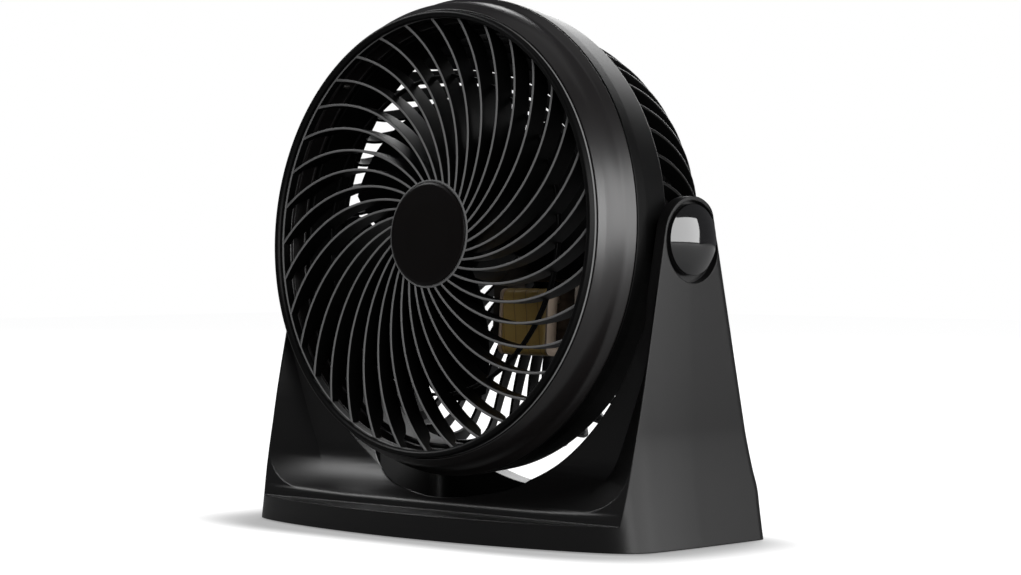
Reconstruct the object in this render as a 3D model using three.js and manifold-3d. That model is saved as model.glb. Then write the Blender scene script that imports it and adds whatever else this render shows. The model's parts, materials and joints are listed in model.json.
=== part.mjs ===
// A tilting table fan that moves air in a narrow column: a round head with a ribbed grille in front and a
// ribbed basket behind hangs on two pivots in a moulded yoke stand. Millimetres, +Z up, the fan blows
// towards -Y. Heights are measured from the table and depths (y) from the pivot axis.
import * as THREE from 'three';
import { mergeVertices } from 'three/addons/utils/BufferGeometryUtils.js';
import Module from 'manifold-3d';

const wasm = await Module();
wasm.setup();

// ---- driving dimensions ------------------------------------------------------------------------------------
const GAP = 0.3; // between pieces that rest on each other
const RUN = 0.35; // round a turning shaft
const DEG = Math.PI / 180;

const PIVOT_HEIGHT = 160;
const HEAD_TILT = 3.35; // degrees that the front of the head points up at rest

// front grille and its rim
const RIM_RADIUS = 120.9;
const RIM_FRONT = -60.6;
const RIM_WIDTH = 4.6;
const RIM_DEPTH = 9.8;
const RIB_COUNT = 36;
const RIB_ARC_RADIUS = 90.5; // each rib is part of a circle of this radius
const RIB_ARC_CENTRE = 80.3; // and the circle's centre is this far from the fan's axis
const RIB_PHASE = -92.84; // degrees from the top, clockwise from the front, of the first circle's centre
const RIB_WIDTH = 1.5;
const RIB_FRONT = -56.4;
const RIB_DEPTH = 11.5;
const RIB_END_DEPTH = 5.3; // next to the rim, outside RIB_STEP
const RIB_STEP = 113;
const HUB_RADIUS = 29.3;
const HUB_PLATE = 3;
const HUB_CAP_RADIUS = 28;
const HUB_CAP_FRONT = -58.4;
const HOOP_RADIUS = 86.5; // thin hoop behind the ribs
const HOOP_WIDTH = 1.7;
const HOOP_REAR = -45.2;
const HOOP_DEPTH = 3;

// housing rings
const SEAM_RADIUS = 130.6; // the widest circle, where the two rings meet
const SEAM_Y = -35;
const HOUSING_REAR_RADIUS = 127.5;
const HOUSING_REAR = -9;
const SKIN = 2.5; // wall of the housing rings
const CLAMP = 2; // thickness of the flanges that are screwed together

// rear basket
const BASKET_RADIUS = 121.8;
const BASKET_DEPTH = 83.5;
const BASKET_POWER = 2.72; // of the rounded-square curve that the basket's section follows
const BASKET_RIBS = 48;
const BASKET_RIB_WIDTH = 2.4;
const BASKET_RIB_DEPTH = 8.5;
const BASKET_SEAT = 116.8; // inner edge of the flange that the ribs spring from
const BASKET_SWEEP = 42; // degrees that a rib turns between the housing and the middle
const BACK_PLATE_RADIUS = 44;
const BACK_PLATE = 2.8;
const BACK_PLATE_LIP = 5; // depth of the plate's edge

// short duct inside the housing, clamped between the two rings
const DUCT_RADIUS = 113.2;
const DUCT_REAR = -15;
const DUCT_WALL = 1.8;

// blades
const BLADES = 3;
const BLADE_RADIUS = 90;
const BLADE_THICKNESS = 1.8;
const BLADE_FRONT = -39; // depth of the leading edge at the root
const BLADE_TIP_FRONT = -30; // and at the tip
const BLADE_REAR = -13; // the same for the trailing edge
const BLADE_TIP_REAR = -9;
const BLADE_SPAN = 91; // degrees round the axis that one blade covers at its root
const BLADE_TIP_SPAN = 49;
const BLADE_SKEW = 27; // degrees that the tip's leading edge is turned against the root's
const BLADE_START = 18.4; // degrees from the top to the first root's leading edge
const BLADE_CAMBER = 3;
const BLADE_HUB_RADIUS = 26;
const BLADE_HUB_FRONT = -44;
const BLADE_HUB_REAR = -12;
const BLADE_HUB_WALL = 2.2;

// motor
const SHAFT_RADIUS = 4;
const SHAFT_FRONT = -48;
const SHAFT_SETBACK = 16.5; // from the back plate's rear face to the shaft's end
const SHAFT_REAR = HOUSING_REAR + BASKET_DEPTH - SHAFT_SETBACK;
const CORE_SETBACK = 22; // from the shaft's rear end to the middle of the stack
const CORE_Y = SHAFT_REAR - CORE_SETBACK; // middle of the stack of laminations
const CORE_STACK = 14;
const CORE_HALF_WIDTH = 31;
const CORE_TOP = 26;
const BAR_TOP = -33.8; // the bar of the core that carries the coil
const BAR_BOTTOM = -54.8;
const WINDOW_HALF_WIDTH = 20;
const WINDOW_TOP = -21;
const ROTOR_RADIUS = 15;
const ROTOR_LENGTH = 18;
const COIL_BUILD = 7; // thickness of the winding round the bobbin
const COIL_LENGTH = 34;
const BOBBIN_WALL = 1.2;
const BEARING_RADIUS = 8;
const BEARING_LENGTH = 8;
const BRACKET_PLATE = 2;
const BRACKET_STANDOFF = 7.4; // from the core's face to the bracket's plate
const BRACKET_HALF_HEIGHT = 11;
const MOTOR_SCREW_X = 23;
const MOTOR_SCREW_RADIUS = 2;
const POST_RADIUS = 4.6;

// switch and knob at the back
const SWITCH_SIZE = 26;
const SWITCH_DEPTH = 9;
const SPINDLE_RADIUS = 3;
const KNOB_RADIUS = 16;
const KNOB_LENGTH = 13;
const KNOB_WALL = 2;
const GLAND_RADIUS = 5.5;
const GLAND_Z = -31;
const GLAND_LENGTH = 9;
const GLAND_BORE = 3.2;

// pivots
const CHEEK_INSIDE = 132;
const CHEEK_OUTSIDE = 139.4;
const RECESS_RADIUS = 21.6;
const RECESS_FLOOR = 134.6;
const RECESS_DROP = 1.2; // the recess sits this much below the pivot
const PAD_RADIUS = 14;
const PAD_FACE = 129.7;
const TRUNNION_RADIUS = 8;
const TRUNNION_END = 136.2;
const WASHER_RADIUS = 12.5;
const BUTTON_RADIUS = 18.7;
const BUTTON_RIM = 138.2;
const BUTTON_CROWN = 5;
const BUTTON_WALL = 1.8;

// stand
const FOOT_HEIGHT = 0.8; // the stand's lower edge clears the table by this much
const FOOT_RADIUS = 7;
const WALL = 2.8;
const HALF_WIDTH = 138.9; // at the height of the pivots
const LEAN = 0.02; // how fast the sides spread towards the table
const FLARE = 6; // and how much more they spread below FLARE_HEIGHT
const FLARE_HEIGHT = 60;
const FRONT = -78;
const BASE_REAR = 51;
const PLINTH_HEIGHT = 19;
const PLINTH_TOP = 38; // height where the rear has drawn in from the plinth to the cheeks
const CHEEK_TOP_RADIUS = 22.6;
const CHEEK_REAR_LOW = 48.4; // depth of the cheek's rear edge at the top of the plinth
const CHEEK_REAR_SLOPE = 0.211; // how fast that edge comes forward with height
const CHEEK_FRONT_LOW = -48; // the same for the front edge
const CHEEK_FRONT_SLOPE = 0.217;
const CHEEK_FRONT_FROM = 45;
const SWING_RADIUS = 139.5; // clear circle that the head hangs in
const APRON_LOW = 14; // height of the skirt at the middle of the front
const COVE_DEPTH = 45; // hollow between the skirt and the cheeks' front faces
const COVE_HEIGHT = 30;
const BAND_WIDTH = 25; // bevelled band inside the cheek's front edge, at BAND_FROM
const BAND_FROM = 38.8;
const BAND_SLOPE = 0.39; // how fast the band narrows with height
const POCKET_FRONT = -48;
const POCKET_REAR = 39;
const POCKET_HALF_WIDTH = 86;
const CAVITY_TOP = 104; // the cheeks are hollow up to here
const BASE_PLATE = 2.4;
const RING_SEGMENTS = 36;

// ---- colours and finishes ----------------------------------------------------------------------------------
const finish = (color, roughness, metalness = 0) =>
  new THREE.MeshStandardMaterial({ color, roughness, metalness });
const shellBlack = finish(0x1b1a1b, 0.42);
const grilleBlack = finish(0x141414, 0.38);
const glossBlack = finish(0x1c1c1e, 0.14);
const bladeBlack = finish(0x121317, 0.3);
const rubberBlack = finish(0x101010, 0.9);
const steel = finish(0x8d8f92, 0.35, 0.9);
const lamination = finish(0x77736c, 0.5, 0.8);
const tapeGold = finish(0xb08a3c, 0.45);
const nylonWhite = finish(0xd9d6cc, 0.5);
const bronze = finish(0x9a6b35, 0.45, 0.9);

// ---- shape helpers -----------------------------------------------------------------------------------------
// welds a geometry's vertices, drops collapsed faces and turns the faces outwards
function welded(geometry) {
  const bare = new THREE.BufferGeometry();
  bare.setAttribute('position', geometry.getAttribute('position').clone());
  if (geometry.index) bare.setIndex(geometry.index.clone());
  const merged = mergeVertices(bare, 1e-4);
  const index = merged.index.array;
  const faces = [];
  for (let i = 0; i < index.length; i += 3) {
    const [a, b, c] = [index[i], index[i + 1], index[i + 2]];
    if (a !== b && b !== c && c !== a) faces.push(a, b, c);
  }
  merged.setIndex(faces);
  if (signedVolume(merged) < 0) {
    for (let i = 0; i < faces.length; i += 3) [faces[i], faces[i + 1]] = [faces[i + 1], faces[i]];
    merged.setIndex(faces);
  }
  return merged;
}

function signedVolume(geometry) {
  const position = geometry.getAttribute('position');
  const index = geometry.index.array;
  const corner = [new THREE.Vector3(), new THREE.Vector3(), new THREE.Vector3()];
  let sum = 0;
  for (let i = 0; i < index.length; i += 3) {
    corner.forEach((v, k) => v.fromBufferAttribute(position, index[i + k]));
    sum += corner[0].dot(corner[1].clone().cross(corner[2])) / 6;
  }
  return sum;
}

function solidOf(geometry) {
  const mesh = welded(geometry);
  return new wasm.Manifold(new wasm.Mesh({
    numProp: 3,
    vertProperties: new Float32Array(mesh.getAttribute('position').array),
    triVerts: new Uint32Array(mesh.index.array),
  }));
}

function geometryOf(solid) {
  const mesh = solid.getMesh();
  const geometry = new THREE.BufferGeometry();
  geometry.setAttribute('position', new THREE.BufferAttribute(mesh.vertProperties, 3));
  geometry.setIndex(new THREE.BufferAttribute(mesh.triVerts, 1));
  return geometry;
}

const join = (first, ...others) =>
  geometryOf(others.reduce((sum, other) => sum.add(solidOf(other)), solidOf(first)));
const cut = (first, ...others) =>
  geometryOf(others.reduce((rest, other) => rest.subtract(solidOf(other)), solidOf(first)));
const common = (first, second) => geometryOf(solidOf(first).intersect(solidOf(second)));

// turned part round the fan's axis (Y); the profile is a closed list of [radius, y]
function turned(profile, segments = RING_SEGMENTS) {
  const points = profile.map(([r, y]) => new THREE.Vector2(r, y));
  return new THREE.LatheGeometry([...points, points[0]], segments);
}

// tube or disc round the fan's axis
const ring = (inner, outer, y0, y1, segments = RING_SEGMENTS) =>
  turned([[inner, y0], [outer, y0], [outer, y1], [inner, y1]], segments);

function rod(radius, from, to, axis = 'y', sides = 16) {
  const geometry = new THREE.CylinderGeometry(radius, radius, Math.abs(to - from), sides);
  geometry.translate(0, (from + to) / 2, 0);
  if (axis === 'x') geometry.rotateZ(-Math.PI / 2);
  if (axis === 'z') geometry.rotateX(Math.PI / 2);
  return geometry;
}

function block(x0, x1, y0, y1, z0, z1) {
  const geometry = new THREE.BoxGeometry(x1 - x0, y1 - y0, z1 - z0);
  return geometry.translate((x0 + x1) / 2, (y0 + y1) / 2, (z0 + z1) / 2);
}

// flat shape drawn in x and z as seen from the front, between two depths
function plateXZ(shape, y0, y1, curveSegments = 12) {
  const geometry = new THREE.ExtrudeGeometry(shape, { depth: y1 - y0, bevelEnabled: false, curveSegments });
  return geometry.rotateX(Math.PI / 2).translate(0, y1, 0);
}

// flat shape drawn in y and z, between two x
function plateYZ(shape, x0, x1, curveSegments = 8) {
  const geometry = new THREE.ExtrudeGeometry(shape, { depth: x1 - x0, bevelEnabled: false, curveSegments });
  return geometry.rotateY(Math.PI / 2).rotateX(Math.PI / 2).translate(x0, 0, 0);
}

// skin over a row of loops with the same number of points, closed by a flat cap at each end
function loft(loops, flatten = (p) => new THREE.Vector2(p.x, p.y)) {
  const count = loops[0].length;
  const positions = loops.flat().flatMap((p) => [p.x, p.y, p.z]);
  const index = [];
  for (let i = 0; i + 1 < loops.length; i++) {
    for (let j = 0; j < count; j++) {
      const a = i * count + j;
      const b = i * count + ((j + 1) % count);
      index.push(a, b, b + count, a, b + count, a + count);
    }
  }
  const last = (loops.length - 1) * count;
  for (const [a, b, c] of THREE.ShapeUtils.triangulateShape(loops[0].map(flatten), [])) {
    index.push(c, b, a);
  }
  for (const [a, b, c] of THREE.ShapeUtils.triangulateShape(loops.at(-1).map(flatten), [])) {
    index.push(last + a, last + b, last + c);
  }
  const geometry = new THREE.BufferGeometry();
  geometry.setAttribute('position', new THREE.Float32BufferAttribute(positions, 3));
  geometry.setIndex(index);
  return geometry;
}

// rectangle with rounded corners, centred on (u, v)
function roundedRectangle(u, v, width, height, radius, path = new THREE.Shape()) {
  const [l, r, b, t] = [u - width / 2, u + width / 2, v - height / 2, v + height / 2];
  path.moveTo(l + radius, b).lineTo(r - radius, b).absarc(r - radius, b + radius, radius, -Math.PI / 2, 0);
  path.lineTo(r, t - radius).absarc(r - radius, t - radius, radius, 0, Math.PI / 2);
  path.lineTo(l + radius, t).absarc(l + radius, t - radius, radius, Math.PI / 2, Math.PI);
  path.lineTo(l, b + radius).absarc(l + radius, b + radius, radius, Math.PI, Math.PI * 1.5);
  return path;
}

// round hole of so many sides in a flat shape
function circleHole(u, v, radius, sides = 12) {
  const angles = Array.from({ length: sides }, (_, i) => (-i / sides) * Math.PI * 2);
  const point = (a) => new THREE.Vector2(u + radius * Math.cos(a), v + radius * Math.sin(a));
  return new THREE.Path(angles.map(point));
}

// ---- scene graph -------------------------------------------------------------------------------------------
const fan = new THREE.Group();
const stand = new THREE.Group();
const head = new THREE.Group();
head.position.z = PIVOT_HEIGHT;
head.rotation.x = -HEAD_TILT * DEG;
fan.add(stand, head);

function add(group, name, geometry, material) {
  const mesh = new THREE.Mesh(welded(geometry), material);
  mesh.name = name;
  group.add(mesh);
}

// ---- front grille ------------------------------------------------------------------------------------------
// point at a distance from the axis on the side of a rib; its angle follows from the rib's circle
function ribPoint(radius, arcRadius, turn) {
  const cosine = (radius ** 2 + RIB_ARC_CENTRE ** 2 - arcRadius ** 2) / (2 * radius * RIB_ARC_CENTRE);
  const angle = (RIB_PHASE + turn) * DEG + Math.acos(cosine);
  return new THREE.Vector2(radius * Math.sin(angle), radius * Math.cos(angle));
}

function frontGrille() {
  const inner = HUB_RADIUS;
  const outer = RIM_RADIUS - RIM_WIDTH;
  const steps = 5;
  const pitch = 360 / RIB_COUNT;
  const plate = new THREE.Shape().absarc(0, 0, outer + RIM_WIDTH / 2, 0, Math.PI * 2);
  const radii = Array.from({ length: steps + 1 }, (_, i) => inner + ((outer - inner) * i) / steps);
  for (let k = 0; k < RIB_COUNT; k++) {
    const side = radii.map((r) => ribPoint(r, RIB_ARC_RADIUS + RIB_WIDTH / 2, k * pitch));
    const next = radii.map((r) => ribPoint(r, RIB_ARC_RADIUS - RIB_WIDTH / 2, (k + 1) * pitch));
    plate.holes.push(new THREE.Path([...side, ...next.reverse()]));
  }
  const ribs = plateXZ(plate, RIB_FRONT, RIB_FRONT + RIB_DEPTH, 24);
  const hubRecess = ring(0, HUB_RADIUS + 0.01, RIB_FRONT + HUB_PLATE + GAP, RIM_FRONT + 30, 36);
  const hubFront = rod(HUB_CAP_RADIUS + GAP, RIB_FRONT - 1, RIB_FRONT + GAP, 'y', 36);
  const rear = RIM_FRONT + RIM_DEPTH;
  const rim = turned([
    [outer + 0.6, RIM_FRONT + 1.2],
    [outer + 1.7, RIM_FRONT + 0.2],
    [outer + 3, RIM_FRONT],
    [RIM_RADIUS - 0.5, RIM_FRONT + 0.7],
    [RIM_RADIUS, RIM_FRONT + 2],
    [RIM_RADIUS, rear],
    [outer + 0.6, rear],
  ]);
  const rimRoom = ring(RIB_STEP, RIM_RADIUS + 1, RIB_FRONT + RIB_END_DEPTH, RIB_FRONT + RIB_DEPTH + 1);
  const hoop = ring(HOOP_RADIUS - HOOP_WIDTH / 2, HOOP_RADIUS + HOOP_WIDTH / 2,
    HOOP_REAR - HOOP_DEPTH, HOOP_REAR);
  return join(cut(ribs, hubRecess, hubFront, rimRoom), rim, hoop);
}
add(head, 'front_grille', frontGrille(), grilleBlack);

const hubSeat = RIB_FRONT + GAP;
const hubCap = turned([
  [0, HUB_CAP_FRONT],
  [HUB_CAP_RADIUS * 0.6, HUB_CAP_FRONT + 0.15],
  [HUB_CAP_RADIUS - 1.2, HUB_CAP_FRONT + 0.5],
  [HUB_CAP_RADIUS, HUB_CAP_FRONT + 1.3],
  [HUB_CAP_RADIUS, hubSeat - GAP],
  [0, hubSeat - GAP],
], 36);
add(head, 'hub_cap', hubCap, shellBlack);

// ---- housing rings -----------------------------------------------------------------------------------------
// the flanges stack from front to rear: front ring, duct, rear housing
const clampFront = SEAM_Y - 3 * CLAMP - 2 * GAP;
const ductFlange = clampFront + CLAMP + GAP;
const rearFlange = ductFlange + CLAMP + GAP;
const flangeInside = 115.6;
const rimSeat = RIM_FRONT + RIM_DEPTH + GAP;
const rimBore = RIM_RADIUS + GAP;
const HOUSING_SCREWS = 4;
const HOUSING_SCREW_AT = 119.6; // distance of the screws from the fan's axis
const HOUSING_SCREW_RADIUS = 1.5;
const HOUSING_SCREW_BITE = 5;

// copies of a piece at the housing screws, halfway between the axes
function atHousingScrews(make) {
  return Array.from({ length: HOUSING_SCREWS }, (_, k) => {
    const angle = ((k + 0.5) / HOUSING_SCREWS) * Math.PI * 2;
    const shift = [HOUSING_SCREW_AT * Math.cos(angle), 0, HOUSING_SCREW_AT * Math.sin(angle)];
    return make().translate(...shift);
  });
}

const frontShell = turned([
  [rimBore, RIM_FRONT + 4.4],
  [rimBore + 4.2, RIM_FRONT + 9.6],
  [rimBore + 5.5, RIM_FRONT + 14],
  [rimBore + 6.2, SEAM_Y - 5.4],
  [rimBore + 7.9, SEAM_Y - 3],
  [SEAM_RADIUS, SEAM_Y - 0.2],
  [SEAM_RADIUS - SKIN, SEAM_Y - 0.2],
  [rimBore + 5, clampFront + CLAMP],
  [flangeInside, clampFront + CLAMP],
  [flangeInside, clampFront],
  [rimBore + 3.6, clampFront],
  [rimBore + 3, RIM_FRONT + 14.4],
  [rimBore + 1.9, rimSeat + CLAMP],
  [flangeInside + 1.8, rimSeat + CLAMP],
  [flangeInside + 1.8, rimSeat],
  [rimBore, rimSeat],
]);
const screwBosses = atHousingScrews(() => rod(3.6, clampFront - 4, clampFront + 0.5, 'y', 10));
const screwHoles = atHousingScrews(() =>
  rod(HOUSING_SCREW_RADIUS + GAP, clampFront - 3.5, rearFlange + CLAMP + 1, 'y', 10));
add(head, 'front_ring', cut(join(frontShell, ...screwBosses), ...screwHoles), shellBlack);

const ductProfile = turned([
  [DUCT_RADIUS, ductFlange + 0.6],
  [DUCT_RADIUS + 0.8, ductFlange],
  [rimBore + 4, ductFlange],
  [rimBore + 4, ductFlange + CLAMP],
  [DUCT_RADIUS + DUCT_WALL, ductFlange + CLAMP],
  [DUCT_RADIUS + DUCT_WALL, DUCT_REAR],
  [DUCT_RADIUS, DUCT_REAR],
]);
add(head, 'air_duct', cut(ductProfile, ...screwHoles), grilleBlack);

// ---- rear housing: ring, basket of ribs and back plate in one moulding --------------------------------------
// radius and depth on the basket's outside, for a share of the way from the housing to the back
function basketPoint(share) {
  const angle = share * 88 * DEG;
  return {
    radius: BASKET_RADIUS * Math.cos(angle) ** (2 / BASKET_POWER),
    y: HOUSING_REAR + BASKET_DEPTH * Math.sin(angle) ** (2 / BASKET_POWER),
  };
}
const backFace = HOUSING_REAR + BASKET_DEPTH;

// share of the way at which the basket's curve has come in to a radius
const shareAtRadius = (radius) =>
  Math.acos((radius / BASKET_RADIUS) ** (BASKET_POWER / 2)) / (88 * DEG);

function basketRib(turn) {
  const end = shareAtRadius(BACK_PLATE_RADIUS - 3);
  const shares = [-0.02, 0.14, 0.36, 0.62, 1].map((s) => s * end);
  const place = (share) => {
    const at = share < 0 ? { radius: BASKET_RADIUS, y: HOUSING_REAR - 3 } : basketPoint(share);
    const angle = (turn + BASKET_SWEEP * (Math.max(share, 0) / end) ** 1.3) * DEG;
    return new THREE.Vector3(at.radius * Math.sin(angle), at.y, at.radius * Math.cos(angle));
  };
  return loft(shares.map((share) => {
    const here = place(share);
    const along = place(share + 0.01).sub(place(share === shares[0] ? share : share - 0.01)).normalize();
    const axisward = new THREE.Vector3(-here.x, 0, -here.z).normalize();
    const inward = axisward.multiplyScalar(1 - share).add(new THREE.Vector3(0, -share, 0));
    inward.addScaledVector(along, -inward.dot(along)).normalize();
    const across = along.clone().cross(inward).multiplyScalar(BASKET_RIB_WIDTH / 2);
    const deep = inward.multiplyScalar(BASKET_RIB_DEPTH);
    return [here.clone().sub(across), here.clone().add(across), here.clone().add(deep)];
  }), (p, k) => new THREE.Vector2([0, 1, 0][k], [0, 0, 1][k]));
}

function rearHousing() {
  const shell = turned([
    [SEAM_RADIUS - 0.2, SEAM_Y + GAP],
    [SEAM_RADIUS - 0.8, SEAM_Y + 8],
    [HOUSING_REAR_RADIUS, HOUSING_REAR],
    [HOUSING_REAR_RADIUS - 1, HOUSING_REAR + 1.2],
    [BASKET_SEAT, HOUSING_REAR + 1.2],
    [BASKET_SEAT, HOUSING_REAR - 2],
    [HOUSING_REAR_RADIUS - SKIN, HOUSING_REAR - 3],
    [SEAM_RADIUS - 0.8 - SKIN, SEAM_Y + 8],
    [SEAM_RADIUS - 0.2 - SKIN, rearFlange + CLAMP],
    [flangeInside, rearFlange + CLAMP],
    [flangeInside, rearFlange],
    [SEAM_RADIUS - 0.2 - SKIN - 1.6, rearFlange],
    [SEAM_RADIUS - 0.2 - SKIN, SEAM_Y + GAP],
  ]);
  const ribs = Array.from({ length: BASKET_RIBS }, (_, k) => basketRib((k * 360) / BASKET_RIBS));
  const plate = turned([
    [0, backFace],
    [BACK_PLATE_RADIUS - 4, backFace],
    [BACK_PLATE_RADIUS, backFace - 1.6],
    [BACK_PLATE_RADIUS, backFace - BACK_PLATE_LIP],
    [BACK_PLATE_RADIUS - 3, backFace - BACK_PLATE_LIP],
    [BACK_PLATE_RADIUS - 3, backFace - BACK_PLATE],
    [0, backFace - BACK_PLATE],
  ], 24);
  const posts = [-1, 1].map((side) =>
    rod(POST_RADIUS, rearBracket + BRACKET_PLATE + GAP, backFace - BACK_PLATE + 0.5, 'y', 12)
      .translate(side * MOTOR_SCREW_X, 0, 0));
  const pads = [-1, 1].map((side) =>
    rod(PAD_RADIUS, side * (BASKET_RADIUS - 7), side * PAD_FACE, 'x', 24));
  const bores = [-1, 1].flatMap((side) => [
    rod(MOTOR_SCREW_RADIUS + GAP, rearBracket, backFace - BACK_PLATE - 1, 'y', 12)
      .translate(side * MOTOR_SCREW_X, 0, 0),
    rod(PIVOT_SCREW_RADIUS + GAP, side * (BASKET_RADIUS - 6), side * (PAD_FACE + 1), 'x', 12),
  ]);
  bores.push(rod(SPINDLE_RADIUS + RUN, backFace - 6, backFace + 1, 'y', 16));
  bores.push(rod(GLAND_RADIUS + GAP, backFace - 6, backFace + 1, 'y', 16).translate(0, 0, GLAND_Z));
  return cut(join(shell, ...ribs, plate, ...posts, ...pads), ...bores, ...screwHoles);
}

// ---- motor -------------------------------------------------------------------------------------------------
const coreFront = CORE_Y - CORE_STACK / 2;
const coreRear = CORE_Y + CORE_STACK / 2;
const frontBracket = coreFront - BRACKET_STANDOFF - BRACKET_PLATE;
const rearBracket = coreRear + BRACKET_STANDOFF;
const PIVOT_SCREW_RADIUS = 2;

add(head, 'rear_housing', rearHousing(), grilleBlack);

function statorCore() {
  const outline = roundedRectangle(0, (CORE_TOP + BAR_BOTTOM) / 2, 2 * CORE_HALF_WIDTH,
    CORE_TOP - BAR_BOTTOM, 5);
  outline.holes.push(circleHole(0, 0, ROTOR_RADIUS + 0.6, 28));
  const windowHeight = WINDOW_TOP - BAR_TOP;
  const window = roundedRectangle(0, (WINDOW_TOP + BAR_TOP) / 2, 2 * WINDOW_HALF_WIDTH, windowHeight, 1,
    new THREE.Path());
  outline.holes.push(window);
  for (const side of [-1, 1]) {
    outline.holes.push(circleHole(side * MOTOR_SCREW_X, 0, MOTOR_SCREW_RADIUS + GAP));
  }
  return plateXZ(outline, coreFront, coreRear, 4);
}
add(head, 'stator_core', statorCore(), lamination);

const barHeight = BAR_TOP - BAR_BOTTOM;
const barMiddle = (BAR_TOP + BAR_BOTTOM) / 2;

// sleeve round the bar of the core: its walls start at one clearance and end at another
function barSleeve(clear, wall, halfLength) {
  const width = CORE_STACK + 2 * (clear + wall);
  const height = barHeight + 2 * (clear + wall);
  const outline = roundedRectangle(CORE_Y, barMiddle, width, height, Math.min(wall, 4) * 0.9);
  const bore = roundedRectangle(CORE_Y, barMiddle, CORE_STACK + 2 * clear, barHeight + 2 * clear, 0.4,
    new THREE.Path());
  outline.holes.push(bore);
  return plateYZ(outline, -halfLength, halfLength, 2);
}
const windingClear = GAP + BOBBIN_WALL + GAP;
const flangeThickness = 1.2;
const bobbinHalf = COIL_LENGTH / 2 + GAP + flangeThickness;
const flangeWall = BOBBIN_WALL + GAP + COIL_BUILD * 0.9;
const bobbinFlanges = [-1, 1].map((side) => {
  const flange = barSleeve(GAP, flangeWall, flangeThickness / 2);
  return flange.translate(side * (bobbinHalf - flangeThickness / 2), 0, 0);
});
add(head, 'coil_bobbin', join(barSleeve(GAP, BOBBIN_WALL, bobbinHalf), ...bobbinFlanges), nylonWhite);
add(head, 'coil', barSleeve(windingClear, COIL_BUILD, COIL_LENGTH / 2), tapeGold);

function bearingBracket(plateFront, postFrom, postTo) {
  const outline = roundedRectangle(0, 0, 2 * CORE_HALF_WIDTH - 4, 2 * BRACKET_HALF_HEIGHT, 6);
  const plate = plateXZ(outline, plateFront, plateFront + BRACKET_PLATE, 3);
  const collar = rod(BEARING_RADIUS + 3, plateFront - 1.5, plateFront + BRACKET_PLATE + 1.5, 'y', 16);
  const posts = [-1, 1].map((side) =>
    rod(POST_RADIUS, postFrom, postTo, 'y', 8).translate(side * MOTOR_SCREW_X, 0, 0));
  const bores = [-1, 1].map((side) =>
    rod(MOTOR_SCREW_RADIUS + GAP, plateFront - 20, plateFront + 20, 'y', 10)
      .translate(side * MOTOR_SCREW_X, 0, 0));
  const seat = rod(BEARING_RADIUS + GAP, plateFront - 5, plateFront + 7, 'y', 20);
  return cut(join(plate, collar, ...posts), seat, ...bores);
}
add(head, 'front_bearing_bracket',
  bearingBracket(frontBracket, frontBracket + 0.5, coreFront - GAP), steel);
add(head, 'rear_bearing_bracket',
  bearingBracket(rearBracket, coreRear + GAP, rearBracket + 1.5), steel);
for (const [name, plateFront] of [['front_bearing', frontBracket], ['rear_bearing', rearBracket]]) {
  const middle = plateFront + BRACKET_PLATE / 2;
  add(head, name, ring(SHAFT_RADIUS + RUN, BEARING_RADIUS, middle - BEARING_LENGTH / 2,
    middle + BEARING_LENGTH / 2, 20), bronze);
}
const screwHeadFace = frontBracket - GAP;
[['motor_screw_left', -1], ['motor_screw_right', 1]].forEach(([name, side]) => {
  const end = backFace - BACK_PLATE - 3;
  const screw = turned([
    [0, screwHeadFace - 2.6], [3, screwHeadFace - 2.2], [3.6, screwHeadFace - 1.2], [3.6, screwHeadFace],
    [MOTOR_SCREW_RADIUS, screwHeadFace], [MOTOR_SCREW_RADIUS, end - 1], [MOTOR_SCREW_RADIUS - 0.8, end],
    [0, end],
  ], 12);
  add(head, name, screw.translate(side * MOTOR_SCREW_X, 0, 0), steel);
});

// ---- what turns with the shaft -----------------------------------------------------------------------------
const shaft = turned([
  [0, SHAFT_FRONT], [SHAFT_RADIUS - 0.6, SHAFT_FRONT], [SHAFT_RADIUS, SHAFT_FRONT + 0.6],
  [SHAFT_RADIUS, SHAFT_REAR - 0.6], [SHAFT_RADIUS - 0.6, SHAFT_REAR], [0, SHAFT_REAR],
], 16);
add(head, 'motor_shaft', shaft, steel);
add(head, 'rotor', ring(SHAFT_RADIUS + GAP, ROTOR_RADIUS, CORE_Y - ROTOR_LENGTH / 2,
  CORE_Y + ROTOR_LENGTH / 2, 28), lamination);

// one blade: a twisted, skewed sheet between the hub and the tip circle
function blade(turn) {
  const rows = 6;
  const columns = 6;
  const root = BLADE_HUB_RADIUS - 1.2;
  const place = (row, column, side) => {
    const out = row / (rows - 1);
    const along = column / (columns - 1);
    const radius = root + (BLADE_RADIUS - root) * out;
    const round = Math.sin(Math.PI * along);
    const span = BLADE_SPAN + (BLADE_TIP_SPAN - BLADE_SPAN) * out ** 2;
    const angle = (BLADE_START + turn + BLADE_SKEW * out + span * along) * DEG;
    const front = BLADE_FRONT + (BLADE_TIP_FRONT - BLADE_FRONT) * out;
    const rear = BLADE_REAR + (BLADE_TIP_REAR - BLADE_REAR) * out;
    const thick = BLADE_THICKNESS * (0.5 + 0.5 * round) * (1.25 - 0.4 * out);
    const y = front + (rear - front) * along - BLADE_CAMBER * round + (side * thick) / 2;
    const tip = radius - 2.2 * out * (1 - round);
    return new THREE.Vector3(tip * Math.sin(angle), y, tip * Math.cos(angle));
  };
  const loops = Array.from({ length: rows }, (_, row) => {
    const front = Array.from({ length: columns }, (_, c) => place(row, c, -1));
    const rear = Array.from({ length: columns }, (_, c) => place(row, columns - 1 - c, 1));
    return [...front, ...rear];
  });
  const flatten = (p, k) => new THREE.Vector2(k < columns ? k : 2 * columns - 1 - k, k < columns ? 0 : 1);
  return loft(loops, flatten);
}

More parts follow.
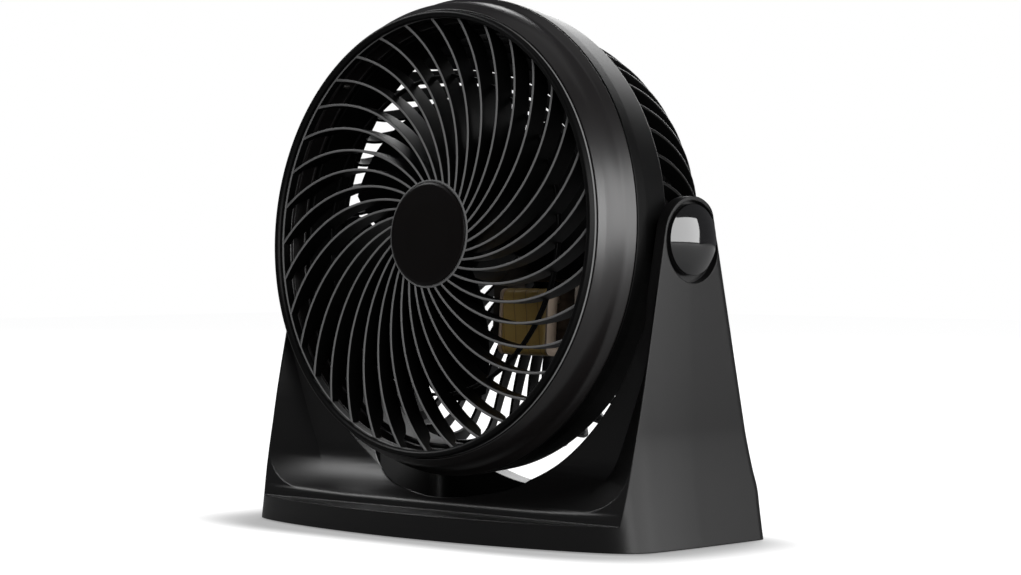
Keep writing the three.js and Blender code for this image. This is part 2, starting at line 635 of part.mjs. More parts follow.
function bladeWheel() {
  const bore = SHAFT_RADIUS + GAP;
  const inside = BLADE_HUB_RADIUS - BLADE_HUB_WALL;
  const boss = bore + 4.2;
  const hub = turned([
    [bore, BLADE_HUB_FRONT],
    [BLADE_HUB_RADIUS - 4, BLADE_HUB_FRONT + 0.4],
    [BLADE_HUB_RADIUS - 1, BLADE_HUB_FRONT + 2],
    [BLADE_HUB_RADIUS, BLADE_HUB_FRONT + 5],
    [BLADE_HUB_RADIUS, BLADE_HUB_REAR],
    [inside, BLADE_HUB_REAR],
    [inside, BLADE_HUB_FRONT + 5],
    [boss, BLADE_HUB_FRONT + BLADE_HUB_WALL],
    [boss, BLADE_HUB_REAR + 6],
    [bore, BLADE_HUB_REAR + 6],
  ], 24);
  const hollow = ring(boss, inside - 0.01, BLADE_HUB_FRONT + 5, BLADE_HUB_REAR + 9, 24);
  const blades = Array.from({ length: BLADES }, (_, k) => blade((k * 360) / BLADES));
  return cut(join(hub, ...blades), hollow);
}
add(head, 'fan_blade', bladeWheel(), bladeBlack);

const nutRear = BLADE_HUB_FRONT - GAP;
const bladeNut = turned([
  [0, SHAFT_FRONT - 3], [5, SHAFT_FRONT - 2.6], [7.4, SHAFT_FRONT - 0.6], [8.6, nutRear - 1.2],
  [8.6, nutRear], [SHAFT_RADIUS + GAP, nutRear], [SHAFT_RADIUS + GAP, SHAFT_FRONT - GAP],
  [0, SHAFT_FRONT - GAP],
], 20);
add(head, 'blade_nut', bladeNut, bladeBlack);

// ---- switch, knob and cord inlet at the back ---------------------------------------------------------------
const switchRear = backFace - BACK_PLATE - GAP;
const switchFront = switchRear - SWITCH_DEPTH;
const half = SWITCH_SIZE / 2;
add(head, 'speed_switch', cut(block(-half, half, switchFront, switchRear, -half, half),
  rod(SPINDLE_RADIUS + RUN, switchFront + 2, switchRear + 1)), nylonWhite);
const knobFront = backFace + 0.8;
const knobRear = knobFront + KNOB_LENGTH;
const spindleEnd = knobRear - KNOB_WALL - GAP;
add(head, 'switch_spindle', rod(SPINDLE_RADIUS, switchFront + 2 + GAP, spindleEnd), nylonWhite);

function speedKnob() {
  const body = turned([
    [0, knobRear], [KNOB_RADIUS - 3.2, knobRear], [KNOB_RADIUS - 1.4, knobRear - 0.8],
    [KNOB_RADIUS, knobFront + 1], [KNOB_RADIUS, knobFront], [KNOB_RADIUS - KNOB_WALL, knobFront],
    [KNOB_RADIUS - KNOB_WALL - 0.8, knobRear - KNOB_WALL], [SPINDLE_RADIUS + 2.4, knobRear - KNOB_WALL],
    [SPINDLE_RADIUS + 2.4, knobFront + 1.5], [SPINDLE_RADIUS + GAP, knobFront + 1.5],
    [SPINDLE_RADIUS + GAP, knobRear - KNOB_WALL], [0, knobRear - KNOB_WALL],
  ], 24);
  const pointer = block(-1.1, 1.1, knobFront + 3, knobRear + 0.6, KNOB_RADIUS * 0.35, KNOB_RADIUS + 0.4);
  const pointerTrim = block(-2, 2, knobFront, knobRear - KNOB_WALL, 0, KNOB_RADIUS - KNOB_WALL);
  return join(body, cut(pointer, pointerTrim));
}
add(head, 'speed_knob', speedKnob(), shellBlack);

const gland = turned([
  [GLAND_BORE, backFace - 5], [GLAND_RADIUS, backFace - 5], [GLAND_RADIUS, backFace + GAP],
  [GLAND_RADIUS + 2.2, backFace + GAP], [GLAND_RADIUS + 1.8, backFace + 2.6],
  [GLAND_BORE + 1.6, backFace + GLAND_LENGTH], [GLAND_BORE, backFace + GLAND_LENGTH],
], 20);
add(head, 'cord_gland', gland.translate(0, 0, GLAND_Z), rubberBlack);

// ---- housing screws ----------------------------------------------------------------------------------------
const housingScrewHead = rearFlange + CLAMP + GAP;
atHousingScrews(() => turned([
  [0, clampFront - 3], [HOUSING_SCREW_RADIUS - 0.5, clampFront - 3],
  [HOUSING_SCREW_RADIUS, clampFront - 2], [HOUSING_SCREW_RADIUS, housingScrewHead],
  [3, housingScrewHead], [3, housingScrewHead + 1.4], [2.2, housingScrewHead + 2], [0, housingScrewHead + 2],
], 10)).forEach((screw, k) => add(head, `housing_screw_${k + 1}`, screw, steel));

// ---- pivots ------------------------------------------------------------------------------------------------
// piece turned round the pivot axis on one side; its profile is a closed list of [radius, distance from
// the middle of the fan]
function onPivot(profile, side, segments) {
  return turned(profile, segments).rotateZ(side * -Math.PI / 2);
}
const trunnionFace = PAD_FACE + GAP;
const trunnionFlange = trunnionFace + 1.2;
const washerFrom = trunnionFlange;
const pivotHead = TRUNNION_END + GAP;
for (const [word, side] of [['left', -1], ['right', 1]]) {
  add(head, `trunnion_${word}`, onPivot([
    [PIVOT_SCREW_RADIUS + GAP, trunnionFace], [TRUNNION_RADIUS, trunnionFace],
    [TRUNNION_RADIUS, TRUNNION_END], [PIVOT_SCREW_RADIUS + GAP, TRUNNION_END],
  ], side, 24), steel);
  add(stand, `friction_washer_${word}`, onPivot([
    [TRUNNION_RADIUS + RUN, PAD_FACE + GAP], [WASHER_RADIUS, PAD_FACE + GAP],
    [WASHER_RADIUS, CHEEK_INSIDE], [TRUNNION_RADIUS + RUN, CHEEK_INSIDE],
  ], side, 24).translate(0, 0, PIVOT_HEIGHT), nylonWhite);
  add(head, `pivot_screw_${word}`, onPivot([
    [0, BASKET_RADIUS - 5], [PIVOT_SCREW_RADIUS - 0.6, BASKET_RADIUS - 5],
    [PIVOT_SCREW_RADIUS, BASKET_RADIUS - 4], [PIVOT_SCREW_RADIUS, pivotHead],
    [6, pivotHead], [6, pivotHead + 1.6], [4.5, pivotHead + 2.2], [0, pivotHead + 2.2],
  ], side, 14), steel);
  add(head, `pivot_button_${word}`, onPivot([
    [0, BUTTON_RIM + BUTTON_CROWN], [6.5, BUTTON_RIM + BUTTON_CROWN - 0.5],
    [12, BUTTON_RIM + BUTTON_CROWN - 1.9], [16.2, BUTTON_RIM + BUTTON_CROWN - 3.9],
    [BUTTON_RADIUS, BUTTON_RIM], [BUTTON_RADIUS, RECESS_FLOOR + 1],
    [BUTTON_RADIUS - BUTTON_WALL, RECESS_FLOOR + 1], [BUTTON_RADIUS - BUTTON_WALL, BUTTON_RIM - 0.6],
    [8, pivotHead + 2.2 + GAP], [0, pivotHead + 2.2 + GAP],
  ], side, 28), glossBlack);
}

// ---- stand -------------------------------------------------------------------------------------------------
const smooth = (t) => {
  const s = Math.min(Math.max(t, 0), 1);
  return s * s * (3 - 2 * s);
};
const mix = (a, b, t) => a + (b - a) * t;

// how far the rear has drawn in from the plinth to the cheeks at a height
const drawn = (height) => smooth((height - PLINTH_HEIGHT) / (PLINTH_TOP - PLINTH_HEIGHT));
const cheekRear = (height) =>
  mix(BASE_REAR, CHEEK_REAR_LOW - CHEEK_REAR_SLOPE * (height - PLINTH_TOP), drawn(height));
const cheekFront = (height) => CHEEK_FRONT_LOW + CHEEK_FRONT_SLOPE * (height - CHEEK_FRONT_FROM);

const halfWidth = (height) => HALF_WIDTH + LEAN * (PIVOT_HEIGHT - height)
  + FLARE * Math.max(1 - height / FLARE_HEIGHT, 0) ** 1.5;

// right half of the stand's outline from above at a height, moved in from the skin by an inset
function halfOutline(height, inset) {
  const wide = halfWidth(height) - inset;
  const front = FRONT + inset;
  const rear = cheekRear(height) - inset;
  const half = new THREE.Path().moveTo(0, front);
  half.bezierCurveTo(wide * 0.3, front, wide * 0.62, front + 7, wide * 0.8, front + 15);
  half.bezierCurveTo(wide * 0.9, front + 19.5, wide * 0.985, front + 25, wide * 0.992, front + 39);
  half.bezierCurveTo(wide * 0.998, front + 52, wide, front + 62, wide, -2);
  half.lineTo(wide * 0.996, rear - 6);
  half.bezierCurveTo(wide * 0.994, rear - 2, wide * 0.985, rear, wide * 0.962, rear);
  return half.getPoints(inset ? 3 : 5);
}

function standLoop(height, inset) {
  const right = halfOutline(height, inset);
  right.push(new THREE.Vector2(0, right.at(-1).y));
  const left = right.slice(1, -1).reverse().map((p) => new THREE.Vector2(-p.x, p.y));
  return [...right, ...left].map((p) => new THREE.Vector3(p.x, p.y, height));
}

// depth of the skin at a distance from the middle, along the front of the outline
function skinDepth(x, height) {
  const points = halfOutline(height, 0);
  const next = points.findIndex((p) => p.x > x);
  const [a, b] = [points[next - 1], points[next]];
  return mix(a.y, b.y, (x - a.x) / (b.x - a.x));
}

// the front is cut away above a curved line: the cutter's section at a height runs from the skin's edge
// down a bevelled band to the recessed face
function frontSection(height, inset) {
  const above = height - APRON_LOW;
  const widest = Math.min(HALF_WIDTH - 0.5, halfWidth(height) - 1);
  const edgeX = widest - 50 * Math.exp(-above / 7.8) - 60 * Math.exp(-above / 1.9);
  const edgeY = Math.max(skinDepth(edgeX, height), cheekFront(height));
  const spread = Math.max(BAND_WIDTH - BAND_SLOPE * (height - BAND_FROM), 0.5);
  const band = Math.min(spread, 34, edgeX * 0.6);
  const rise = Math.max(1 - (height - APRON_LOW) / COVE_HEIGHT, 0);
  const cove = FRONT + COVE_DEPTH * Math.sqrt(1 - rise ** 2);
  const faceY = Math.max(cove, edgeY);
  const far = FRONT - 40;
  const wide = HALF_WIDTH + 30;
  const side = (sign) => [
    [sign * wide, far], [sign * wide, edgeY + inset], [sign * edgeX, edgeY + inset],
    [sign * (edgeX - band), faceY + inset],
  ];
  return [...side(1), ...side(-1).reverse()].map(([x, y]) => new THREE.Vector3(x, y, height));
}

function frontCutter(inset) {
  const steps = inset ? 6 : 13;
  const tall = PIVOT_HEIGHT + 16;
  const heights = Array.from({ length: steps + 1 }, (_, i) => tall * (i / steps) ** 2.6);
  return loft(heights.map((step) => {
    const loop = frontSection(APRON_LOW + step, inset);
    loop.forEach((p) => { p.z -= inset; });
    return loop;
  }));
}

// side view of the stand: sloping rear edge and a round top about the pivot
function sideProfile(inset) {
  const top = CHEEK_TOP_RADIUS - inset;
  const tangent = Math.atan(CHEEK_FRONT_SLOPE);
  const level = PIVOT_HEIGHT + top * Math.sin(tangent);
  const outline = new THREE.Shape().moveTo(FRONT - 20, 0).lineTo(FRONT - 20, level);
  outline.absarc(0, PIVOT_HEIGHT, top, Math.PI - tangent, tangent, true);
  outline.lineTo(BASE_REAR + 10, level).lineTo(BASE_REAR + 10, 0);
  return plateYZ(outline, -HALF_WIDTH - 20, HALF_WIDTH + 20, 9);
}

// space between the cheeks: the swing circle, opened straight up above the pivot
function swingSpace(inset) {
  const radius = SWING_RADIUS + inset;
  const slab = CHEEK_INSIDE - inset;
  const outline = new THREE.Shape();
  const angle = Math.acos(slab / radius);
  outline.moveTo(-slab, PIVOT_HEIGHT + 60).lineTo(-slab, PIVOT_HEIGHT - radius * Math.sin(angle));
  outline.absarc(0, PIVOT_HEIGHT, radius, Math.PI + angle, 2 * Math.PI - angle, false);
  outline.lineTo(slab, PIVOT_HEIGHT + 60);
  return plateXZ(outline, FRONT - 50, BASE_REAR + 50, inset ? 16 : 24);
}

function standBody(inset, from, to) {
  const levels = [from, PLINTH_HEIGHT, 24, 29, 33, PLINTH_TOP, 90, to];
  const outside = loft(levels.map((height) => standLoop(height, inset)));
  return cut(common(outside, sideProfile(inset)), swingSpace(inset), frontCutter(inset));
}

function standShell() {
  const body = standBody(0, FOOT_HEIGHT, PIVOT_HEIGHT + CHEEK_TOP_RADIUS + 4);
  const wellWall = pocketBlock(WALL, plateTop + GAP);
  const cavity = cut(standBody(WALL, FOOT_HEIGHT - 5, CAVITY_TOP), wellWall);
  const pocket = pocketBlock(0, plateTop - 5);
  const recesses = [-1, 1].flatMap((side) => [
    rod(RECESS_RADIUS, side * RECESS_FLOOR, side * (CHEEK_OUTSIDE + 10), 'x', 28)
      .translate(0, 0, PIVOT_HEIGHT - RECESS_DROP),
    rod(TRUNNION_RADIUS + RUN, side * (CHEEK_INSIDE - 5), side * (CHEEK_OUTSIDE + 10), 'x', 20)
      .translate(0, 0, PIVOT_HEIGHT),
  ]);
  const shell = cut(body, cavity, pocket, ...recesses);
  const posts = screwPlaces.map(([x, y]) =>
    common(body, rod(4.4, plateTop + GAP, CAVITY_TOP, 'z', 12).translate(x, y, 0)));
  const pilots = screwPlaces.map(([x, y]) =>
    rod(BASE_SCREW_RADIUS + GAP, plateTop - 1, plateTop + 10, 'z', 12).translate(x, y, 0));
  return { shell, posts, pilots };
}

// well in the floor of the stand, behind the apron
function pocketBlock(inset, bottom) {
  const [wide, front, rear] = [POCKET_HALF_WIDTH + inset, POCKET_FRONT - inset, POCKET_REAR + inset];
  const outline = new THREE.Shape().moveTo(0, front).bezierCurveTo(34, front, 74, front + 12, wide, front + 38);
  outline.lineTo(wide, rear - 10).quadraticCurveTo(wide, rear, wide - 10, rear);
  outline.lineTo(-wide + 10, rear).quadraticCurveTo(-wide, rear, -wide, rear - 10);
  outline.lineTo(-wide, front + 38).bezierCurveTo(-74, front + 12, -34, front, 0, front);
  const tall = PIVOT_HEIGHT / 2;
  const geometry = new THREE.ExtrudeGeometry(outline, { depth: tall, bevelEnabled: false, curveSegments: 5 });
  return geometry.translate(0, 0, bottom);
}

const plateBottom = FOOT_HEIGHT;
const plateTop = plateBottom + BASE_PLATE;
const BASE_SCREW_RADIUS = 1.6;
const screwPlaces = [[-106, -42], [106, -42], [-106, 30], [106, 30]];
const footPlaces = [[-124, -38], [124, -38], [-130, 38], [130, 38]];

const { shell, posts, pilots } = standShell();
add(stand, 'stand_shell', cut(join(shell, ...posts), ...pilots), shellBlack);

function basePlate() {
  const loop = standLoop(plateTop, WALL + 2 * GAP).map((p) => new THREE.Vector2(p.x, p.y));
  const outline = new THREE.Shape(loop);
  for (const [x, y] of screwPlaces) outline.holes.push(circleHole(x, y, BASE_SCREW_RADIUS + GAP));
  for (const [x, y] of footPlaces) outline.holes.push(circleHole(x, y, FOOT_STEM + GAP));
  const geometry = new THREE.ExtrudeGeometry(outline, {
    depth: BASE_PLATE, bevelEnabled: false, curveSegments: 5,
  });
  return geometry.translate(0, 0, plateBottom);
}
const FOOT_STEM = 2.6;
add(stand, 'base_plate', basePlate(), shellBlack);

// piece turned round an upright axis; its profile is a closed list of [radius, height]
const upright = (profile, x, y, segments) =>
  turned(profile, segments).rotateX(Math.PI / 2).translate(x, y, 0);
footPlaces.forEach(([x, y], k) => add(stand, `foot_${k + 1}`, upright([
  [0, 0], [FOOT_RADIUS - 0.6, 0], [FOOT_RADIUS, FOOT_HEIGHT / 2], [FOOT_RADIUS, FOOT_HEIGHT],
  [FOOT_STEM, FOOT_HEIGHT], [FOOT_STEM, plateTop], [0, plateTop],
], x, y, 16), rubberBlack));
screwPlaces.forEach(([x, y], k) => add(stand, `base_screw_${k + 1}`, upright([
  [0, plateBottom - 0.6], [3, plateBottom - 0.6], [3, plateBottom],
  [BASE_SCREW_RADIUS, plateBottom], [BASE_SCREW_RADIUS, plateTop + 8], [0, plateTop + 9],
], x, y, 10), steel));

// the origin is on the table, under the middle of the whole fan
const box = new THREE.Box3().setFromObject(fan, true);
fan.position.set(-(box.min.x + box.max.x) / 2, -(box.min.y + box.max.y) / 2, -box.min.z);
fan.updateMatrixWorld(true);

export default fan;
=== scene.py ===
"""A black table fan. Its round head, ribbed grille in front and ribbed basket behind, tilts in a yoke stand.

Lengths are millimetres. Head pieces are worked out round the fan's axis: x to the right as seen along +Y,
y backwards along the axis from the tilt pivots, z up. Stand pieces use x, y from the pivots and the height
over the table. placed() turns both into the frame's metres.
"""

import json
import math

import bmesh
import bpy
import numpy as np
from mathutils import Matrix, Vector


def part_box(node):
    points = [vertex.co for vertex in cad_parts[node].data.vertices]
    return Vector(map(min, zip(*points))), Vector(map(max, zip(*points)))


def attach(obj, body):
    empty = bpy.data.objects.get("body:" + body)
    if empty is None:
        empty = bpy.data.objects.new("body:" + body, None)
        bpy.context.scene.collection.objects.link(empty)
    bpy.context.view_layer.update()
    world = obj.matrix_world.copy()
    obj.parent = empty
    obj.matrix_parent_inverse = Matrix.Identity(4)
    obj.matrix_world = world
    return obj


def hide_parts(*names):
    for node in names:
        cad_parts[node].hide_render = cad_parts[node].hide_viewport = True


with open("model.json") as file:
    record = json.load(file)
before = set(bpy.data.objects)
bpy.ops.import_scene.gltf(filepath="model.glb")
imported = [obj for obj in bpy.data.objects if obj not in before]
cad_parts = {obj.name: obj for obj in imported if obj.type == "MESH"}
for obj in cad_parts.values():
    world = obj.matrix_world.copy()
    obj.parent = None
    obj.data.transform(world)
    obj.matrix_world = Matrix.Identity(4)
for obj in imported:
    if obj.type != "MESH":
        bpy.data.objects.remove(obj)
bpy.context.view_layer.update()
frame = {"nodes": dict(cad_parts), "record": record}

MM = 0.001
TAU = 2 * math.pi
PIVOT_HEIGHT = 160
HEAD_TILT = 3.35
BUTTON_RADIUS = 18.7
WELD = 1e-7
SLIVER = 1e-8
PIVOT = np.array([0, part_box("pivot_button_right")[0].y / MM + BUTTON_RADIUS, PIVOT_HEIGHT])

RIM_RADIUS = 120.9
RIM_FRONT = -60.6
RIM_INSIDE = 116.3
RIM_REAR = -50.8
RIB_COUNT = 36
RIB_ARC_RADIUS = 90.5
RIB_ARC_CENTRE = 80.3
RIB_PHASE = -92.84
RIB_FRONT = -56.4
RIB_DEPTH = 11.5
RIB_END_DEPTH = 5.3
HUB_RADIUS = 29.3
HUB_CAP_RADIUS = 28
HUB_CAP_FRONT = -58.4
HUB_PLATE_REAR = RIB_FRONT + 3.3
HOOP_RADIUS = 86.5
HOOP_WIDTH = 1.7
HOOP_DEPTH = 3
HOOP_REAR = -45.2

SEAM_RADIUS = 130.6
SEAM_Y = -35
HOUSING_REAR_RADIUS = 127.5
HOUSING_REAR = -9
SKIN = 2.5
FLANGE_INSIDE = 115.6
CLAMP_FRONT = -41.6
DUCT_FLANGE = -39.3
REAR_FLANGE = -37
CLAMP = 2

BASKET_RADIUS = 120.9
BASKET_DEPTH = 86
BASKET_POWER = 2.6
BASKET_RIBS = 48
BASKET_RIB_DEPTH = 8.5
BASKET_SWEEP = 42
BASKET_SEAT = 116.8
BASKET_END_RADIUS = 41
BACK_PLATE_RADIUS = 44
BACK_PLATE = 2.8
BACK_PLATE_LIP = 5
BACK_FACE = 74.5
POST_X = 23
POST_RADIUS = 4.6
POST_FRONT = 52.7
POST_REAR = 72.2

DUCT_RADIUS = 113.2
DUCT_REAR = -15
DUCT_WALL = 1.8

BLADES = 3
BLADE_RADIUS = 90
BLADE_FRONT = -39
BLADE_TIP_FRONT = -30
BLADE_REAR = -13
BLADE_TIP_REAR = -9
BLADE_SPAN = 91
BLADE_TIP_SPAN = 49
BLADE_SKEW = 27
BLADE_START = 18.4
BLADE_THICKNESS = 1.8
BLADE_CAMBER = 3
BLADE_STEPS = 26
BLADE_HUB_RADIUS = 26
BLADE_HUB_FRONT = -44
BLADE_HUB_REAR = -12
BLADE_HUB_INSIDE = 23.8
BLADE_BOSS = 8.5
BLADE_BORE = 4.3

CORE_Y = 36
CORE_HALF_STACK = 7
BAR_MIDDLE = -44.3
BAR_HALF_HEIGHT = 10.5
COIL_BUILD = 7
COIL_HALF_LENGTH = 17
COIL_CORNER = 4.2
COIL_SEGMENTS = 40
BOBBIN_SKIN = 1.8
KNOB_RADIUS = 16
KNOB_FRONT = 75.3
KNOB_REAR = 88.3
GRIP_RIDGES = 24
GRIP_DEPTH = 0.3

CHEEK_INSIDE = 132
RECESS_RADIUS = 21.6
RECESS_FLOOR = 134.6
RECESS_DROP = 1.2
PAD_RADIUS = 14
PAD_FACE = 129.7
PAD_ROOT = 113.9
TRUNNION_BORE = 8.35
BUTTON_RIM = 138.2
BUTTON_CROWN = 5
BUTTON_INSIDE = 16.9

FOOT_HEIGHT = 0.8
WALL = 2.8
HALF_WIDTH = 138.9
FRONT = -78
BASE_REAR = 51
PLINTH_HEIGHT = 19
PLINTH_TOP = 38
CHEEK_TOP_RADIUS = 22.6
CHEEK_FRONT_LOW = -48
CHEEK_FRONT_FROM = 45
CHEEK_FRONT_SLOPE = 0.217
CHEEK_REAR_LOW = 48.4
CHEEK_REAR_SLOPE = 0.211
SWING_RADIUS = 139.5
APRON_LOW = 14
COVE_DEPTH = 45
COVE_HEIGHT = 30
BAND_WIDTH = 25
BAND_SLOPE = 0.39
BAND_FROM = 38.8
BAND_MOST = 34
CAVITY_TOP = 12
POCKET_FRONT = -48
POCKET_REAR = 39
POCKET_HALF_WIDTH = 86


# ---- camera --------------------------------------------------------------------------------------
VIEW_TURN = 43.488
VIEW_LIFT = 0.8
VIEW_PLACE = np.array([1036.5, -1084.6, -5.3])
LENS = 95.37
SENSOR = 36


def stand_camera():
    """The camera stands 43.5 degrees round from the fan's front to its right, level with the pivots."""
    turn, lift = math.radians(VIEW_TURN), math.radians(VIEW_LIFT)
    back = (math.sin(turn) * math.cos(lift), -math.cos(turn) * math.cos(lift), math.sin(lift))
    right = (math.cos(turn), math.sin(turn), 0)
    up = np.cross(back, right)
    camera = bpy.data.objects.new("camera", bpy.data.cameras.new("camera"))
    camera.data.lens = LENS
    camera.data.sensor_width = SENSOR
    place = np.eye(4)
    place[:3, 0], place[:3, 1], place[:3, 2] = right, up, back
    place[:3, 3] = (PIVOT + VIEW_PLACE) * MM
    camera.matrix_world = Matrix(place.tolist())
    bpy.context.scene.collection.objects.link(camera)
    bpy.context.scene.camera = camera


stand_camera()
bpy.context.scene.view_settings.view_transform = "Standard"


# ---- surfaces ------------------------------------------------------------------------------------
def placed(points, part):
    """Row-frame metres: head points turn by the head's tilt about the pivots, stand points only shift."""
    points = np.asarray(points, float).reshape(-1, 3)
    if part == "stand":
        return (points + PIVOT * [1, 1, 0]) * MM
    tilt = math.radians(HEAD_TILT)
    x, y, z = points.T
    turned_y = y * math.cos(tilt) + z * math.sin(tilt)
    turned_z = -y * math.sin(tilt) + z * math.cos(tilt)
    return (np.stack([x, turned_y, turned_z], 1) + PIVOT) * MM


def quads(rows, columns, round_rows=False, round_columns=True):
    """Quads between neighbours of a grid of rows x columns, joined round where asked."""
    i = np.arange(rows if round_rows else rows - 1)[:, None]
    j = np.arange(columns if round_columns else columns - 1)[None]
    near, far = i * columns, ((i + 1) % rows) * columns
    after = (j + 1) % columns
    return np.stack([near + j, near + after, far + after, far + j], -1).reshape(-1, 4)


def joined(*parts):
    """One list of points and one of faces out of several (points, faces)."""
    points, faces, start = [], [], 0
    for some, others in parts:
        points.append(np.asarray(some, float).reshape(-1, 3))
        faces += [tuple(int(v) + start for v in face) for face in others]
        start += len(points[-1])
    return np.concatenate(points), faces


def copies(points, faces, count):
    """The same faces for each of several stacked copies of the points, shaped (count, n, 3)."""
    step = points.reshape(count, -1, 3).shape[1]
    shift = (np.arange(count) * step)[:, None, None]
    return points.reshape(-1, 3), (np.asarray(faces)[None] + shift).reshape(-1, 4)


def rounded(profile, radius=0.5, steps=4, closed=True):
    """A profile with each corner P drawn as the curve P + d((1-t)^2 back + t^2 on). The reach d is the
    radius, or 0.45 of the shorter side where that is less; radius is one number or one for each corner."""
    corner = np.asarray(profile, float)
    back = np.roll(corner, 1, 0) - corner
    on = np.roll(corner, -1, 0) - corner
    if not closed:
        back[0], on[-1] = 0, 0
    span = np.stack([np.hypot(*back.T), np.hypot(*on.T)], 1)
    reach = np.minimum(radius, 0.45 * span.min(1))[:, None]
    back = back / np.maximum(span[:, :1], 1e-9) * reach
    on = on / np.maximum(span[:, 1:], 1e-9) * reach
    t = np.linspace(0, 1, steps + 1)[None, :, None]
    curve = corner[:, None] + back[:, None] * (1 - t) ** 2 + on[:, None] * t ** 2
    return curve.reshape(-1, 2)


def turned(profile, segments=144, closed=True, around="y", wave=None):
    """A profile of (radius r, depth y) carried round: (r sin a, y, r cos a), a from 0 to a whole turn."""
    r, y = np.asarray(profile, float).T[:, :, None]
    a = np.linspace(0, TAU, segments, endpoint=False)[None]
    if wave is not None:
        r = r + wave(r, y, a)
    grid = np.stack(np.broadcast_arrays(r * np.sin(a), y, r * np.cos(a)), -1)
    if around == "x":
        grid = grid[..., [1, 0, 2]]
    return grid.reshape(-1, 3), quads(grid.shape[0], segments, closed, True)


def carried(section, path, across, inward):
    """A closed section (u, v) carried along paths: P + u across + v inward, with flat ends."""
    count, steps = path.shape[:2]
    u, v = np.asarray(section, float).T[:, None, None, :, None]
    points = path[:, :, None] + u * across[:, :, None] + v * inward[:, :, None]
    columns = len(section)
    points, faces = copies(points, quads(steps, columns), count)
    starts = np.arange(count)[:, None] * steps * columns
    first = (starts + np.arange(columns)[::-1]).tolist()
    last = (starts + (steps - 1) * columns + np.arange(columns)).tolist()
    return points, faces.tolist() + first + last


def unit(vectors):
    """Vectors brought to length 1."""
    return vectors / np.linalg.norm(vectors, axis=-1, keepdims=True)


def capped(grid):
    """Rings of points, shaped (rings, n, 3), as a closed skin with a flat face at each end."""
    rings, columns = grid.shape[:2]
    faces = quads(rings, columns).tolist()
    faces += [list(range(columns))[::-1], [(rings - 1) * columns + k for k in range(columns)]]
    return grid.reshape(-1, 3), faces


def mesh_of(name, points, faces):
    """A mesh with its double points merged and its faces turned outwards."""
    mesh = bpy.data.meshes.new(name)
    mesh.from_pydata(np.asarray(points).tolist(), [], [tuple(f) for f in faces])
    work = bmesh.new()
    work.from_mesh(mesh)
    bmesh.ops.remove_doubles(work, verts=work.verts, dist=WELD)
    bmesh.ops.dissolve_degenerate(work, edges=work.edges, dist=SLIVER)
    bmesh.ops.recalc_face_normals(work, faces=work.faces)
    work.to_mesh(mesh)
    work.free()
    return mesh


def shown(name, mesh, body, material, slot, *nodes, sharp=34):
    """Puts a mesh in the scene as the piece that stands for those nodes."""
    piece = bpy.data.objects.new(name, mesh)
    bpy.context.scene.collection.objects.link(piece)
    mesh.polygons.foreach_set("use_smooth", np.ones(len(mesh.polygons), bool))
    mesh.set_sharp_from_angle(angle=math.radians(sharp))
    mesh.materials.append(material)
    weighted = piece.modifiers.new("even shading", "WEIGHTED_NORMAL")
    weighted.keep_sharp = True
    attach(piece, body)
    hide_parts(*nodes)
    return piece


def head_piece(name, surface, material, slot, *nodes, body="head", sharp=34):
    """A piece of the head, from points in head millimetres."""
    points, faces = surface
    mesh = mesh_of(name, placed(points, "head"), faces)
    return shown(name, mesh, body, material, slot, *nodes, sharp=sharp)


def carve(name, body, *steps):
    """A mesh after boolean steps, each ("DIFFERENCE" | "INTERSECT" | "UNION", (points, faces))."""
    helpers = []
    base = bpy.data.objects.new(name, mesh_of(name, *body))
    bpy.context.scene.collection.objects.link(base)
    for operation, (points, faces) in steps:
        tool = bpy.data.objects.new("tool", mesh_of("tool", points, faces))
        bpy.context.scene.collection.objects.link(tool)
        helpers.append(tool)
        modifier = base.modifiers.new("carve", "BOOLEAN")
        modifier.solver = "MANIFOLD"
        modifier.operation = operation
        modifier.object = tool
    bpy.context.view_layer.update()
    done = bpy.data.meshes.new_from_object(base.evaluated_get(bpy.context.evaluated_depsgraph_get()))
    done.name = name
    for helper in [base, *helpers]:
        bpy.data.objects.remove(helper)
    done.materials.clear()
    return done


# ---- finishes ------------------------------------------------------------------------------------
class Wire:
    """A socket of a material; sums on it add the Math nodes."""

    def __init__(self, finish, socket):
        self.finish = finish
        self.socket = socket

    def math(self, operation, first, second):
        return self.finish.node("ShaderNodeMath", {"operation": operation}, {0: first, 1: second})

    def __add__(self, other):
        return self.math("ADD", self, other)

    def __sub__(self, other):
        return self.math("SUBTRACT", self, other)

    def __mul__(self, other):
        return self.math("MULTIPLY", self, other)

    def __pow__(self, other):
        return self.math("POWER", self, other)

    __radd__ = __add__


